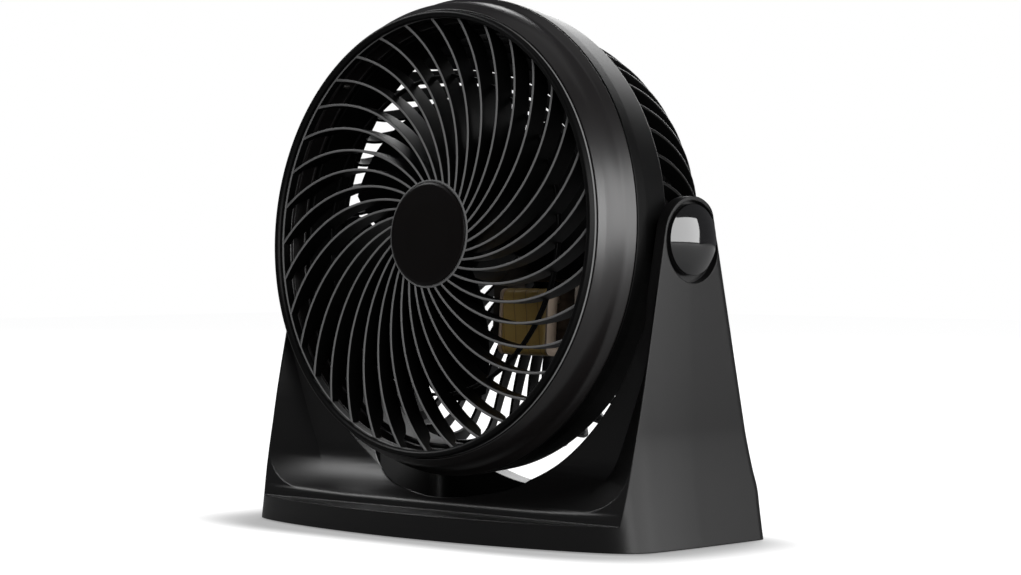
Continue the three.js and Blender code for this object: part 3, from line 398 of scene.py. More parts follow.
class Finish:
    """A material with one Principled shader."""

    def __init__(self, name):
        self.material = bpy.data.materials.new(name)
        self.material.use_nodes = True
        self.tree = self.material.node_tree
        self.shader = next(n for n in self.tree.nodes if n.type == "BSDF_PRINCIPLED")
        self.place = self.node("ShaderNodeTexCoord", output="Object")

    def node(self, kind, settings=None, values=None, output=0):
        """Adds a node: its settings first, then the values or wires of its sockets."""
        node = self.tree.nodes.new(kind)
        for name, setting in (settings or {}).items():
            if name == "stops":
                ramp = node.color_ramp.elements
                while len(ramp) < len(setting):
                    ramp.new(0.5)
                for stop, (position, level) in zip(ramp, setting):
                    stop.position = position
                    stop.color = (level, level, level, 1)
            else:
                setattr(node, name, setting)
        self.fill(node, values or {})
        return Wire(self, node.outputs[output])

    def fill(self, node, values):
        for name, value in values.items():
            if isinstance(value, Wire):
                self.tree.links.new(value.socket, node.inputs[name])
            else:
                node.inputs[name].default_value = value

    def set(self, **values):
        """Sets the shader's sockets; base_color stands for Base Color."""
        self.fill(self.shader, {name.replace("_", " ").title().replace("Ior", "IOR"): value
                                for name, value in values.items()})
        return self.material

    def along(self, axis):
        """The place along "X", "Y" or "Z" in metres."""
        return self.node("ShaderNodeSeparateXYZ", {}, {0: self.place}, axis)

    def step(self, value, start, end, low=0.0, high=1.0):
        """A smooth rise from low to high while the value goes from start to end."""
        limits = {"From Min": start, "From Max": end, "To Min": low, "To Max": high}
        settings = {"interpolation_type": "SMOOTHSTEP"}
        return self.node("ShaderNodeMapRange", settings, {"Value": value, **limits}, "Result")

    def mottle(self, size, detail=3, stretch=(1, 1, 1)):
        """Soft noise between 0 and 1 with spots of about that size in millimetres."""
        mapped = self.node("ShaderNodeMapping", {}, {"Vector": self.place, "Scale": stretch})
        values = {"Vector": mapped, "Scale": 1 / (size * MM), "Detail": detail, "Roughness": 0.55}
        return self.node("ShaderNodeTexNoise", {}, values, "Fac")

    def ramp(self, value, *stops):
        return self.node("ShaderNodeValToRGB", {"stops": stops}, {"Fac": value}, "Color")

    def blend(self, share, low, high):
        """Colour between low and high."""
        return self.node("ShaderNodeMix", {"data_type": "RGBA"}, {0: share, 6: low, 7: high}, 2)

    def relief(self, height, depth, edge=0.0):
        """Normal of a surface that rises by depth millimetres; edges look rounded by edge millimetres."""
        values = {"Height": height, "Distance": depth * MM, "Strength": 1}
        if edge:
            values["Normal"] = self.node("ShaderNodeBevel", {"samples": 6}, {"Radius": edge * MM})
        return self.node("ShaderNodeBump", {}, values)


def grey(level, tint=(1, 1, 1)):
    """A colour of about that level with a slight tint."""
    return (level * tint[0], level * tint[1], level * tint[2], 1)


def moulded(name, level, rough, grain, edge, tint=(1, 1, 1), coat=0.0, depth=0.006, shine=0.5):
    """Injection-moulded plastic: fine spark grain, cloudy gloss and a trace of dust in the colour."""
    finish = Finish(name)
    cloud = finish.mottle(38, 4)
    fine = finish.mottle(grain, 2)
    dust = finish.ramp(finish.mottle(2.2, 6), (0.62, 0), (0.8, 1))
    colour = finish.blend(cloud, grey(level * 0.9, tint), grey(level * 1.12, tint))
    return finish.set(
        base_color=finish.blend(dust * 0.08, colour, grey(level * 1.5 + 0.002, tint)),
        roughness=rough + (cloud - 0.5) * 0.04 + (fine - 0.5) * 0.03,
        coat_weight=coat,
        specular_ior_level=shine,
        normal=finish.relief(fine, depth, edge),
    )


def highlit_edges(name, level, highlight_level):
    """Black ribs with a painted highlight along their front edges, pale grey lines that stand in for the
    light they catch:
    the share rises from 0 at 0.55 mm behind the ribs' front to 1 at 0.2 mm, measured along the fan's axis,
    and the rim further forward stays black."""
    finish = Finish(name)
    tilt = math.radians(HEAD_TILT)
    axis = (0, math.cos(tilt), -math.sin(tilt))
    depth = finish.node("ShaderNodeVectorMath", {"operation": "DOT_PRODUCT"},
                        {0: finish.place, 1: axis}, "Value")
    front = float(np.dot(PIVOT, axis)) + RIB_FRONT
    # painted highlight: pale grey along the ribs' front edges, in place of the light they would catch from
    # the lamps
    pale = finish.step(depth, (front + 0.55) * MM, (front + 0.2) * MM)
    ahead = finish.step(depth, (front - 1) * MM, (front - 0.6) * MM)
    fine = finish.mottle(0.5, 2)
    cloud = finish.mottle(30, 3)
    share = pale * ahead * (0.8 + cloud * 0.4)
    return finish.set(
        base_color=finish.blend(share, grey(level), grey(highlight_level)),
        roughness=0.36 + cloud * 0.06 + fine * 0.04,
        specular_ior_level=0.15,
        normal=finish.relief(fine, 0.002, 0.2),
    )


def taped(name):
    """Gold-tan film tape wound round the coil: a lap every 9 mm, slightly slanted, with fine wrinkles."""
    finish = Finish(name)
    laps = finish.along("X") * (1 / 0.009) + finish.along("Z") * 14 + finish.mottle(9, 2) * 0.12
    lap = finish.node("ShaderNodeMath", {"operation": "FRACT"}, {0: laps})
    seam = finish.ramp(lap, (0, 0), (0.05, 1), (0.94, 1), (1, 0))
    wrinkle = finish.mottle(1.6, 4, (1, 1, 5))
    colour = finish.blend(seam, (0.16, 0.09, 0.02, 1), (0.5, 0.33, 0.1, 1))
    return finish.set(
        base_color=finish.blend(wrinkle * 0.4, colour, (0.62, 0.45, 0.18, 1)),
        roughness=0.24 + wrinkle * 0.25,
        normal=finish.relief(seam * 0.6 + wrinkle * 0.4, 0.25, 0.4),
        coat_weight=0.3,
    )


def stacked(name):
    """Punched steel sheets, 0.5 mm each, seen as fine lines across the stack's edge."""
    finish = Finish(name)
    half = 0.25 * MM
    depth = finish.along("Y")
    sheet = depth.math("PINGPONG", depth, half) * (1 / half)
    stain = finish.mottle(6, 5)
    colour = finish.blend(stain, (0.05, 0.042, 0.036, 1), (0.14, 0.12, 0.1, 1))
    return finish.set(
        base_color=finish.blend(sheet ** 3 * 0.6, colour, (0.03, 0.026, 0.022, 1)),
        metallic=0.85,
        roughness=0.42 + stain * 0.2,
        normal=finish.relief(sheet, 0.06, 0.2),
    )


def metal(name, colour, rough, brush=(1, 1, 1)):
    """Plated or drawn metal with faint brushing and cloudy gloss."""
    finish = Finish(name)
    line = finish.mottle(0.8, 4, brush)
    cloud = finish.mottle(9, 3)
    dark = tuple(c * 0.72 for c in colour) + (1,)
    return finish.set(
        base_color=finish.blend(cloud, dark, (*colour, 1)),
        metallic=0.95,
        roughness=rough + line * 0.14,
        normal=finish.relief(line, 0.01, 0.25),
    )


def nylon(name):
    """Natural nylon, tanned by warmth in patches."""
    finish = Finish(name)
    cloud = finish.mottle(7, 4)
    return finish.set(
        base_color=finish.blend(cloud, (0.40, 0.30, 0.22, 1), (0.52, 0.40, 0.31, 1)),
        roughness=0.4 + cloud * 0.15,
        normal=finish.relief(cloud, 0.03, 0.3),
        subsurface_weight=0.05,
    )


def dull_rubber(name):
    """Soft black rubber with a fine matt surface."""
    finish = Finish(name)
    fine = finish.mottle(0.5, 3)
    return finish.set(
        base_color=finish.blend(fine, grey(0.008), grey(0.016)),
        roughness=0.75 + fine * 0.2,
        normal=finish.relief(fine, 0.03, 0.3),
    )


stand_black = moulded("satin black stand", 0.0042, 0.38, 0.35, 0.9, (1.05, 1, 1.02), shine=0.35)
ring_black = moulded("semi-gloss brown-black housing", 0.0060, 0.32, 0.5, 0.5, (1.15, 0.98, 0.98),
                     depth=0.002, shine=0.75)
# the ribs' finish carries a painted highlight along their front edges
rib_black = highlit_edges("black ribs with painted highlight on front edges", 0.0010, 0.17)
cap_black = moulded("satin black hub cap", 0.0022, 0.36, 0.4, 0.3, (1.4, 1, 0.9), depth=0.003, shine=0.15)
blade_black = moulded("blue-black blades", 0.0030, 0.36, 0.6, 0.0, (0.95, 1, 1.12), depth=0.002, shine=0.2)
button_gloss = moulded("polished dark button", 0.0060, 0.06, 1.2, 0.0, (1, 1, 1.03), coat=1.0,
                       depth=0.0002, shine=0.8)
coil_tape = taped("gold coil tape")
lamination_steel = stacked("stacked laminations")
zinc = metal("dull zinc-plated steel", (0.13, 0.125, 0.12), 0.34, (1, 6, 1))
bronze = metal("sintered bronze", (0.62, 0.4, 0.2), 0.4)
white_nylon = nylon("natural nylon")
foot_rubber = dull_rubber("black rubber")


# ---- front grille --------------------------------------------------------------------------------
def rib_line(radius, turn):
    """Centre line of a front rib: at distance r from the axis the angle is phase + turn + acos((r^2 + c^2
    - R^2) / 2rc), for a circle of radius R whose centre is c from the axis."""
    cosine = (radius ** 2 + RIB_ARC_CENTRE ** 2 - RIB_ARC_RADIUS ** 2) / (2 * radius * RIB_ARC_CENTRE)
    angle = np.radians(RIB_PHASE + turn) + np.arccos(cosine)
    return np.stack([radius * np.sin(angle), np.full_like(angle, RIB_FRONT), radius * np.cos(angle)], -1)


def front_ribs():
    """All the ribs at once: a flat bar with a round front edge along each rib line, shallower at the rim."""
    turn = np.arange(RIB_COUNT)[:, None] * 360 / RIB_COUNT
    radius = np.linspace(HUB_RADIUS - 1.5, RIM_INSIDE + 1.2, 26)[None]
    path = rib_line(radius, turn)
    along = unit(rib_line(radius + 0.01, turn) - rib_line(radius - 0.01, turn))
    inward = np.broadcast_to([0.0, 1.0, 0.0], path.shape)
    near = np.clip((RIM_INSIDE - 2 - radius) / 6, 0, 1)
    deep = RIB_END_DEPTH + (RIB_DEPTH - RIB_END_DEPTH) * near * near * (3 - 2 * near)
    front = np.array([(-0.76, 0.72), (-0.66, 0.34), (-0.42, 0.08), (0, 0), (0.42, 0.08), (0.66, 0.34),
                      (0.76, 0.72)])
    section = np.concatenate([[(-0.55, 1)], front * [1, 1 / RIB_DEPTH], [(0.55, 1)]])
    return carried(section, path, np.cross(along, inward), inward * deep[..., None])


def grille_surface():
    """Ribs, the rolled rim, the thin hoop behind the ribs and the plate in the middle that they grow from."""
    rim = rounded([
        (RIM_INSIDE + 0.5, RIM_FRONT + 1.4), (RIM_INSIDE + 1.7, RIM_FRONT + 0.2), (RIM_INSIDE + 3, RIM_FRONT),
        (RIM_RADIUS - 0.5, RIM_FRONT + 0.6), (RIM_RADIUS, RIM_FRONT + 2), (RIM_RADIUS, RIM_REAR),
        (RIM_INSIDE + 0.6, RIM_REAR)], 1.2, 5)
    hub = rounded([
        (0, RIB_FRONT + 0.3), (HUB_CAP_RADIUS + 0.3, RIB_FRONT + 0.3),
        (HUB_CAP_RADIUS + 0.3, RIB_FRONT - 0.2), (HUB_RADIUS, RIB_FRONT - 0.2),
        (HUB_RADIUS, HUB_PLATE_REAR), (0, HUB_PLATE_REAR)], 0.4, 3, False)
    inside, outside = HOOP_RADIUS - HOOP_WIDTH / 2, HOOP_RADIUS + HOOP_WIDTH / 2
    hoop = rounded([(inside, HOOP_REAR - HOOP_DEPTH), (outside, HOOP_REAR - HOOP_DEPTH),
                    (outside, HOOP_REAR), (inside, HOOP_REAR)], 0.5, 3)
    return joined(front_ribs(), turned(rim, 240), turned(hub, 120, False), turned(hoop, 180))


head_piece("front_grille_ribs", grille_surface(), rib_black, "grille_plastic", "front_grille")

cap_profile = rounded([
    (0, HUB_CAP_FRONT), (HUB_CAP_RADIUS * 0.6, HUB_CAP_FRONT + 0.15),
    (HUB_CAP_RADIUS - 1.2, HUB_CAP_FRONT + 0.5),
    (HUB_CAP_RADIUS, HUB_CAP_FRONT + 1.3), (HUB_CAP_RADIUS, RIB_FRONT), (0, RIB_FRONT)], 0.8, 4, False)
head_piece("hub_cap_disc", turned(cap_profile, 120, False), cap_black, "housing_plastic", "hub_cap")

# ---- housing rings -------------------------------------------------------------------------------
BORE = RIM_RADIUS + 0.3
front_ring_profile = rounded([
    (BORE, RIM_FRONT + 4.4), (BORE + 4.2, RIM_FRONT + 9.6), (BORE + 5.5, RIM_FRONT + 14),
    (BORE + 6.2, SEAM_Y - 5.4), (BORE + 7.9, SEAM_Y - 3), (SEAM_RADIUS, SEAM_Y - 0.2),
    (SEAM_RADIUS - SKIN, SEAM_Y - 0.2), (BORE + 5, CLAMP_FRONT + CLAMP), (FLANGE_INSIDE, CLAMP_FRONT + CLAMP),
    (FLANGE_INSIDE, CLAMP_FRONT), (BORE + 3.6, CLAMP_FRONT), (BORE + 3, RIM_FRONT + 14.4),
    (BORE + 1.9, RIM_REAR + 2.3), (FLANGE_INSIDE + 1.8, RIM_REAR + 2.3),
    (FLANGE_INSIDE + 1.8, RIM_REAR + 0.3), (BORE, RIM_REAR + 0.3)],
    np.array([1.2, 4, 4, 3, 2, 1.6] + [0.8] * 10), 7)
head_piece("front_ring_band", turned(front_ring_profile, 240), ring_black, "housing_plastic", "front_ring")

duct_profile = rounded([
    (DUCT_RADIUS, DUCT_FLANGE + 0.6), (DUCT_RADIUS + 0.8, DUCT_FLANGE), (BORE + 4, DUCT_FLANGE),
    (BORE + 4, DUCT_FLANGE + CLAMP), (DUCT_RADIUS + DUCT_WALL, DUCT_FLANGE + CLAMP),
    (DUCT_RADIUS + DUCT_WALL, DUCT_REAR), (DUCT_RADIUS, DUCT_REAR)], 0.6, 4)
head_piece("air_duct_ring", turned(duct_profile, 180), rib_black, "grille_plastic", "air_duct")


# ---- rear housing and basket ---------------------------------------------------------------------
def basket_line(share, turn):
    """Outside of the basket: radius R cos(q)^(2/n), depth D sin(q)^(2/n), where q is the share of the angle
    at which the radius has come down to the back plate's, while the rib turns by its sweep times share^1.3.
    Below a share of 0 the rib runs straight forward into the housing."""
    whole = math.acos((BASKET_END_RADIUS / BASKET_RADIUS) ** (BASKET_POWER / 2))
    quarter = np.clip(share, 1e-6, None) * whole
    radius = BASKET_RADIUS * np.cos(quarter) ** (2 / BASKET_POWER)
    depth = HOUSING_REAR + BASKET_DEPTH * np.sin(quarter) ** (2 / BASKET_POWER)
    depth = depth + np.minimum(share, 0) * 120
    angle = np.radians(turn + BASKET_SWEEP * np.clip(share, 0, None) ** 1.3)
    return np.stack(np.broadcast_arrays(radius * np.sin(angle), depth, radius * np.cos(angle)), -1)


def basket_ribs():
    """All the basket's ribs: a tapered bar, round on the outside, standing square to the basket's skin."""
    turn = np.arange(BASKET_RIBS)[:, None] * 360 / BASKET_RIBS
    share = np.concatenate([[-0.03, 0], np.linspace(0.015, 1, 30) ** 1.15])[None]
    path = basket_line(share, turn)
    along = unit(np.gradient(path, axis=1))
    share = share[..., None]
    inward = -path * [1, 0, 1]
    inward = unit(inward) * (1 - np.clip(share, 0, 1)) + np.array([0, -1, 0]) * np.clip(share, 0, 1)
    inward = unit(inward - along * (inward * along).sum(-1, keepdims=True))
    half = [(0.5, 0), (0.95, 0.03), (1.15, 0.1), (0.8, 1)]
    section = [(-u, v) for u, v in half[::-1]] + half
    return carried(section, path, np.cross(along, inward), inward * BASKET_RIB_DEPTH)


def housing_surface():
    """The wide ring, the basket's ribs, the back plate, the pivot pads and the motor's posts."""
    shell = rounded([
        (SEAM_RADIUS - 0.2, SEAM_Y + 0.3), (SEAM_RADIUS - 0.8, SEAM_Y + 8),
        (HOUSING_REAR_RADIUS, HOUSING_REAR), (HOUSING_REAR_RADIUS - 1, HOUSING_REAR + 1.2),
        (BASKET_SEAT, HOUSING_REAR + 1.2),
        (BASKET_SEAT, HOUSING_REAR - 2), (HOUSING_REAR_RADIUS - SKIN, HOUSING_REAR - 3),
        (SEAM_RADIUS - 0.8 - SKIN, SEAM_Y + 8),
        (SEAM_RADIUS - 0.2 - SKIN, REAR_FLANGE + CLAMP), (FLANGE_INSIDE, REAR_FLANGE + CLAMP),
        (FLANGE_INSIDE, REAR_FLANGE), (SEAM_RADIUS - 1.8 - SKIN, REAR_FLANGE),
        (SEAM_RADIUS - 0.2 - SKIN, SEAM_Y + 0.3)], 0.7, 4)
    rim, lip = BACK_PLATE_RADIUS, BACK_FACE - BACK_PLATE_LIP
    plate = rounded([
        (4, BACK_FACE), (rim - 4, BACK_FACE), (rim, BACK_FACE - 1.6), (rim, lip), (rim - 3, lip),
        (rim - 3, BACK_FACE - BACK_PLATE), (4, BACK_FACE - BACK_PLATE)], 0.8, 4)
    post = rounded([(0, POST_FRONT), (POST_RADIUS, POST_FRONT), (POST_RADIUS, POST_REAR), (0, POST_REAR)],
                   0.4, 3, False)
    post_points, post_faces = turned(post, 20, False)
    pad = rounded([(0, PAD_ROOT), (PAD_RADIUS, PAD_ROOT), (PAD_RADIUS, PAD_FACE), (0, PAD_FACE)],
                  0.6, 3, False)
    pad_points, pad_faces = turned(pad, 64, False, "x")
    return joined(
        turned(shell, 240), basket_ribs(), turned(plate, 96),
        (post_points - [POST_X, 0, 0], post_faces), (post_points + [POST_X, 0, 0], post_faces),
        (pad_points, pad_faces), (pad_points * [-1, 1, 1], pad_faces))


head_piece("rear_housing_basket", housing_surface(), rib_black, "grille_plastic", "rear_housing")


# ---- blades --------------------------------------------------------------------------------------
def blade_sheets():
    """The blades: at share s of the way out and share c along the chord the angle is start + turn + skew s +
    c (span + (tip span - span) s^2). The depth runs from the leading edge to the trailing edge, both on
    straight lines from root to tip, less a camber of 3 sin(pi c)."""
    root = BLADE_HUB_RADIUS - 1.2
    turn = (np.arange(BLADES) * 360 / BLADES + BLADE_START)[:, None, None]
    out = np.linspace(0, 1, 20)[None, :, None]
    chord = np.concatenate([np.linspace(0, 1, BLADE_STEPS), np.linspace(1, 0, BLADE_STEPS)])[None, None]
    side = np.repeat([-1, 1], BLADE_STEPS)[None, None]
    bulge = np.sin(math.pi * chord)
    span = BLADE_SPAN + (BLADE_TIP_SPAN - BLADE_SPAN) * out ** 2
    angle = np.radians(turn + BLADE_SKEW * out + span * chord)
    front = BLADE_FRONT + (BLADE_TIP_FRONT - BLADE_FRONT) * out
    rear = BLADE_REAR + (BLADE_TIP_REAR - BLADE_REAR) * out
    thick = BLADE_THICKNESS * (0.35 + 0.65 * bulge ** 0.5) * (1.25 - 0.4 * out)
    y = front + (rear - front) * chord - BLADE_CAMBER * bulge + side * thick / 2
    reach = root + (BLADE_RADIUS - root) * out - 2.2 * out * (1 - bulge)
    grid = np.stack(np.broadcast_arrays(reach * np.sin(angle), y, reach * np.cos(angle)), -1)
    rows, columns = grid.shape[1:3]
    points, faces = copies(grid, quads(rows, columns), BLADES)
    pairs = np.arange(columns // 2 - 1)
    ends = np.stack([pairs, pairs + 1, columns - 2 - pairs, columns - 1 - pairs], -1)
    first = np.arange(BLADES)[:, None, None] * rows * columns
    tips = (first + (rows - 1) * columns + ends).reshape(-1, 4)
    roots = (first + ends[:, ::-1]).reshape(-1, 4)
    return points, np.concatenate([faces, tips, roots])


hub_profile = rounded([
    (BLADE_BORE, BLADE_HUB_FRONT), (BLADE_HUB_RADIUS - 4, BLADE_HUB_FRONT + 0.4),
    (BLADE_HUB_RADIUS - 1, BLADE_HUB_FRONT + 2), (BLADE_HUB_RADIUS, BLADE_HUB_FRONT + 5),
    (BLADE_HUB_RADIUS, BLADE_HUB_REAR), (BLADE_HUB_INSIDE, BLADE_HUB_REAR),
    (BLADE_HUB_INSIDE, BLADE_HUB_FRONT + 5), (BLADE_BOSS, BLADE_HUB_FRONT + 2.2),
    (BLADE_BOSS, BLADE_HUB_REAR + 6), (BLADE_BORE, BLADE_HUB_REAR + 6)], 1.0, 4)
head_piece("fan_wheel", joined(blade_sheets(), turned(hub_profile, 96)), blade_black, "blade_plastic",
           "fan_blade", body="blade_assembly", sharp=50)
nut_profile = rounded([
    (0, -51), (5, -50.6), (7.4, -48.6), (8.6, -45.5), (8.6, -44.3), (BLADE_BORE, -44.3), (BLADE_BORE, -48.3),
    (0, -48.3)], 0.8, 4, False)
head_piece("blade_spinner", turned(nut_profile, 60, False), blade_black, "blade_plastic", "blade_nut",
           body="blade_assembly")


# ---- coil ----------------------------------------------------------------------------------------
def coil_surface():
    """The taped coil: round the bar a loop whose half sizes are the bar's plus an offset, corners rounded.
    The offset and the place along x follow a rounded rectangle whose outside sinks by 0.35 (1 - cos(x/7))."""
    top = BOBBIN_SKIN + COIL_BUILD
    profile = rounded([(-COIL_HALF_LENGTH, BOBBIN_SKIN), (COIL_HALF_LENGTH, BOBBIN_SKIN),
                       (COIL_HALF_LENGTH, top), (-COIL_HALF_LENGTH, top)], 2.4, 6)
    profile[:, 1] += 0.35 * (profile[:, 1] > 5) * (np.cos(profile[:, 0] / 7) - 1)
    x, offset = profile.T[:, :, None]
    corner = np.minimum(offset, COIL_CORNER)
    angle = (np.arange(COIL_SEGMENTS)[None] + 0.5) / COIL_SEGMENTS * TAU
    y = np.sign(np.cos(angle)) * (CORE_HALF_STACK + offset - corner) + corner * np.cos(angle)
    z = np.sign(np.sin(angle)) * (BAR_HALF_HEIGHT + offset - corner) + corner * np.sin(angle)
    grid = np.stack(np.broadcast_arrays(x, CORE_Y + y, BAR_MIDDLE + z), -1)
    return grid.reshape(-1, 3), quads(grid.shape[0], COIL_SEGMENTS, True, True)


head_piece("taped_coil", coil_surface(), coil_tape, "coil_tape", "coil", sharp=60)


# ---- knob at the back ----------------------------------------------------------------------------
def grip(radius, depth, angle):
    """Grooves round the knob's side, which is drawn in by 0.15 (1 - cos(24 a)) short of its two ends."""
    side = (radius > KNOB_RADIUS - 0.6) * (depth < KNOB_REAR - 1.4) * (depth > KNOB_FRONT + 0.6)
    return side * -GRIP_DEPTH * (1 - np.cos(GRIP_RIDGES * angle)) / 2


def knob_surface():
    """The knob's turned cup with a pointer bar from near its middle to its edge."""
    cup = rounded([
        (0, KNOB_REAR), (KNOB_RADIUS - 3.2, KNOB_REAR), (KNOB_RADIUS - 1.4, KNOB_REAR - 0.8),
        (KNOB_RADIUS, KNOB_FRONT + 1), (KNOB_RADIUS, KNOB_FRONT), (KNOB_RADIUS - 2, KNOB_FRONT),
        (KNOB_RADIUS - 2.8, KNOB_REAR - 2), (5.4, KNOB_REAR - 2), (5.4, KNOB_FRONT + 1.5),
        (3.3, KNOB_FRONT + 1.5), (3.3, KNOB_REAR - 2), (0, KNOB_REAR - 2)], 0.7, 4, False)
    bar = rounded([(-1.1, 5.6), (1.1, 5.6), (1.1, KNOB_RADIUS - 0.3), (-1.1, KNOB_RADIUS - 0.3)], 0.7, 4)
    levels = np.array([KNOB_REAR - 1.5, KNOB_REAR + 0.3, KNOB_REAR + 0.6])[:, None]
    shrink = np.array([1, 1, 0.75])[:, None]
    x, z = bar.T[:, None]
    grid = np.stack(np.broadcast_arrays(x * shrink, levels, (z - 10.6) * (1 - (1 - shrink) / 4) + 10.6), -1)
    return joined(turned(cup, 192, False, wave=grip), capped(grid))


head_piece("speed_knob_cup", knob_surface(), cap_black, "housing_plastic", "speed_knob", body="knob")


# ---- pivot buttons -------------------------------------------------------------------------------
def button_surface(side):
    """Domed cap: the crown falls as crown (r / R)^2.3 from its middle to the rim."""
    r = np.linspace(0, BUTTON_RADIUS - 0.25, 24)
    crown = np.stack([r, BUTTON_RIM + 0.5 + (BUTTON_CROWN - 0.5) * (1 - (r / BUTTON_RADIUS) ** 2.3)], 1)
    skirt = rounded([(BUTTON_RADIUS, BUTTON_RIM), (BUTTON_RADIUS, RECESS_FLOOR + 1),
                     (BUTTON_INSIDE, RECESS_FLOOR + 1), (BUTTON_INSIDE, BUTTON_RIM - 0.6),
                     (8, 139), (0, 139)], 0.4, 3, False)
    points, faces = turned(np.concatenate([crown, skirt]), 120, False, "x")
    return points * [side, 1, 1], faces


for word, side in (("left", -1), ("right", 1)):
    head_piece(f"pivot_cap_{word}", button_surface(side), button_gloss, "button_plastic",
               f"pivot_button_{word}")


# ---- stand ---------------------------------------------------------------------------------------
def half_width(height):
    """Half the stand's width: it leans out by 0.02 and flares by 6 (1 - h/60)^1.5 near the table."""
    return HALF_WIDTH + 0.02 * (PIVOT_HEIGHT - height) + 6 * np.clip(1 - height / 60, 0, None) ** 1.5


def cheek_rear(height):
    """Depth of the rear edge: the plinth's up to 19, then a smooth step to the sloping cheek at 38."""
    t = np.clip((height - PLINTH_HEIGHT) / (PLINTH_TOP - PLINTH_HEIGHT), 0, 1)
    t = t * t * (3 - 2 * t)
    return BASE_REAR * (1 - t) + (CHEEK_REAR_LOW - CHEEK_REAR_SLOPE * (height - PLINTH_TOP)) * t


def bezier(points, steps):
    """Cubic curve through stacked control points, shaped (4, rows, 2), without its first point."""
    t = np.linspace(0, 1, steps + 1)[1:, None]
    a, b, c, d = (p[:, None] for p in points)
    return a * (1 - t) ** 3 + 3 * b * t * (1 - t) ** 2 + 3 * c * t ** 2 * (1 - t) + d * t ** 3


def half_outline(height, inset=0.0, fine=1.0):
    """Right half of the stand seen from above, one row for each height."""
    height = np.atleast_1d(np.asarray(height, float))
    wide = half_width(height) - inset
    front = np.full_like(height, FRONT + inset)
    rear = cheek_rear(height) - inset

    def at(share, depth):
        return np.stack([wide * share, depth], 1)

    start = at(0, front)[:, None]
    middle = at(0.8, front + 15)
    corner = at(0.992, front + 39)
    turn = np.stack([wide, np.full_like(wide, -2)], 1)
    heel = at(0.996, rear - 6)
    legs = [
        bezier([at(0, front), at(0.3, front), at(0.62, front + 7), middle], int(14 * fine)),
        bezier([middle, at(0.9, front + 19.5), at(0.985, front + 25), corner], int(14 * fine)),
        bezier([corner, at(0.998, front + 52), np.stack([wide, front + 62], 1), turn], int(10 * fine)),
        heel[:, None],
        bezier([heel, at(0.994, rear - 2), at(0.985, rear), at(0.962, rear)], 6),
    ]
    return np.concatenate([start, *legs], 1)


def stand_loops(height, inset=0.0, fine=1.0):
    """Whole outlines at each height, as rings of points."""
    height = np.atleast_1d(np.asarray(height, float))
    right = half_outline(height, inset, fine)
    rear = right[:, -1:] * [0, 1]
    left = right[:, 1:][:, ::-1] * [-1, 1]
    flat = np.concatenate([right, rear, left], 1)
    tall = np.broadcast_to(height[:, None, None], flat.shape[:2] + (1,))
    return np.concatenate([flat, tall], 2)


def front_cut():
    """What is cut from the front above the skirt: at height h over the skirt's low middle its section runs
    from the skin's edge down a bevelled band to the recessed face. The edge is at widest - 50 e^(-h/7.8) -
    60 e^(-h/1.9), and the face draws back by 45 sqrt(1 - (1 - h/30)^2)."""
    step = np.concatenate([np.linspace(0, 1, 26) ** 2.4 * 60, [75, 90, 120, 176]])
    height = APRON_LOW + step
    widest = np.minimum(HALF_WIDTH - 0.5, half_width(height) - 1)
    edge = widest - 50 * np.exp(-step / 7.8) - 60 * np.exp(-step / 1.9)
    outline = half_outline(height, 0, 3)
    skin = np.array([np.interp(e, row[:, 0], row[:, 1]) for e, row in zip(edge, outline[:, :90])])
    edge_y = np.maximum(skin, CHEEK_FRONT_LOW + CHEEK_FRONT_SLOPE * (height - CHEEK_FRONT_FROM))
    band = np.clip(BAND_WIDTH - BAND_SLOPE * (height - BAND_FROM), 0.5, BAND_MOST)
    band = np.minimum(band, edge * 0.6)
    rise = np.clip(1 - step / COVE_HEIGHT, 0, None)
    face = np.maximum(FRONT + COVE_DEPTH * np.sqrt(1 - rise ** 2), edge_y)
    far, wide = np.full_like(height, FRONT - 40), np.full_like(height, HALF_WIDTH + 30)
    right = np.stack([np.stack([wide, edge, edge - band], 1), np.stack([edge_y, edge_y, face], 1)], -1)
    corner = np.stack([wide, far], 1)[:, None]
    right = np.concatenate([corner, right], 1)
    flat = np.concatenate([right, right[:, ::-1] * [-1, 1]], 1)
    tall = np.broadcast_to(height[:, None, None], flat.shape[:2] + (1,))
    return capped(np.concatenate([flat, tall], 2))


def slab(outline, axis, low, high):
    """A flat outline carried along one axis."""
    outline = np.asarray(outline, float)
    other = [k for k in range(3) if k != axis]
    grid = np.zeros((2, len(outline), 3))
    grid[:, :, other] = outline[None]
    grid[0, :, axis], grid[1, :, axis] = low, high
    return capped(grid)


def arc(centre, radius, start, end, steps):
    """Points on a circle between two angles in degrees."""
    angle = np.radians(np.linspace(start, end, steps))
    return np.stack([centre[0] + radius * np.cos(angle), centre[1] + radius * np.sin(angle)], 1)


def side_outline():
    """The stand from the side: straight up the front, round over the pivot, down behind."""
    tangent = math.degrees(math.atan(CHEEK_FRONT_SLOPE))
    top = arc((0, PIVOT_HEIGHT), CHEEK_TOP_RADIUS, 180 - tangent, tangent, 60)
    level = top[0, 1]
    return np.concatenate([
        [(FRONT - 20, -2), (FRONT - 20, level)], top, [(BASE_REAR + 10, level), (BASE_REAR + 10, -2)]])


def swing_outline():
    """Room for the head: a circle round the pivot between the cheeks, open upwards."""
    angle = math.degrees(math.acos(CHEEK_INSIDE / SWING_RADIUS))
    bowl = arc((0, PIVOT_HEIGHT), SWING_RADIUS, 180 + angle, 360 - angle, 120)
    return np.concatenate([[(-CHEEK_INSIDE, PIVOT_HEIGHT + 60)], bowl, [(CHEEK_INSIDE, PIVOT_HEIGHT + 60)]])


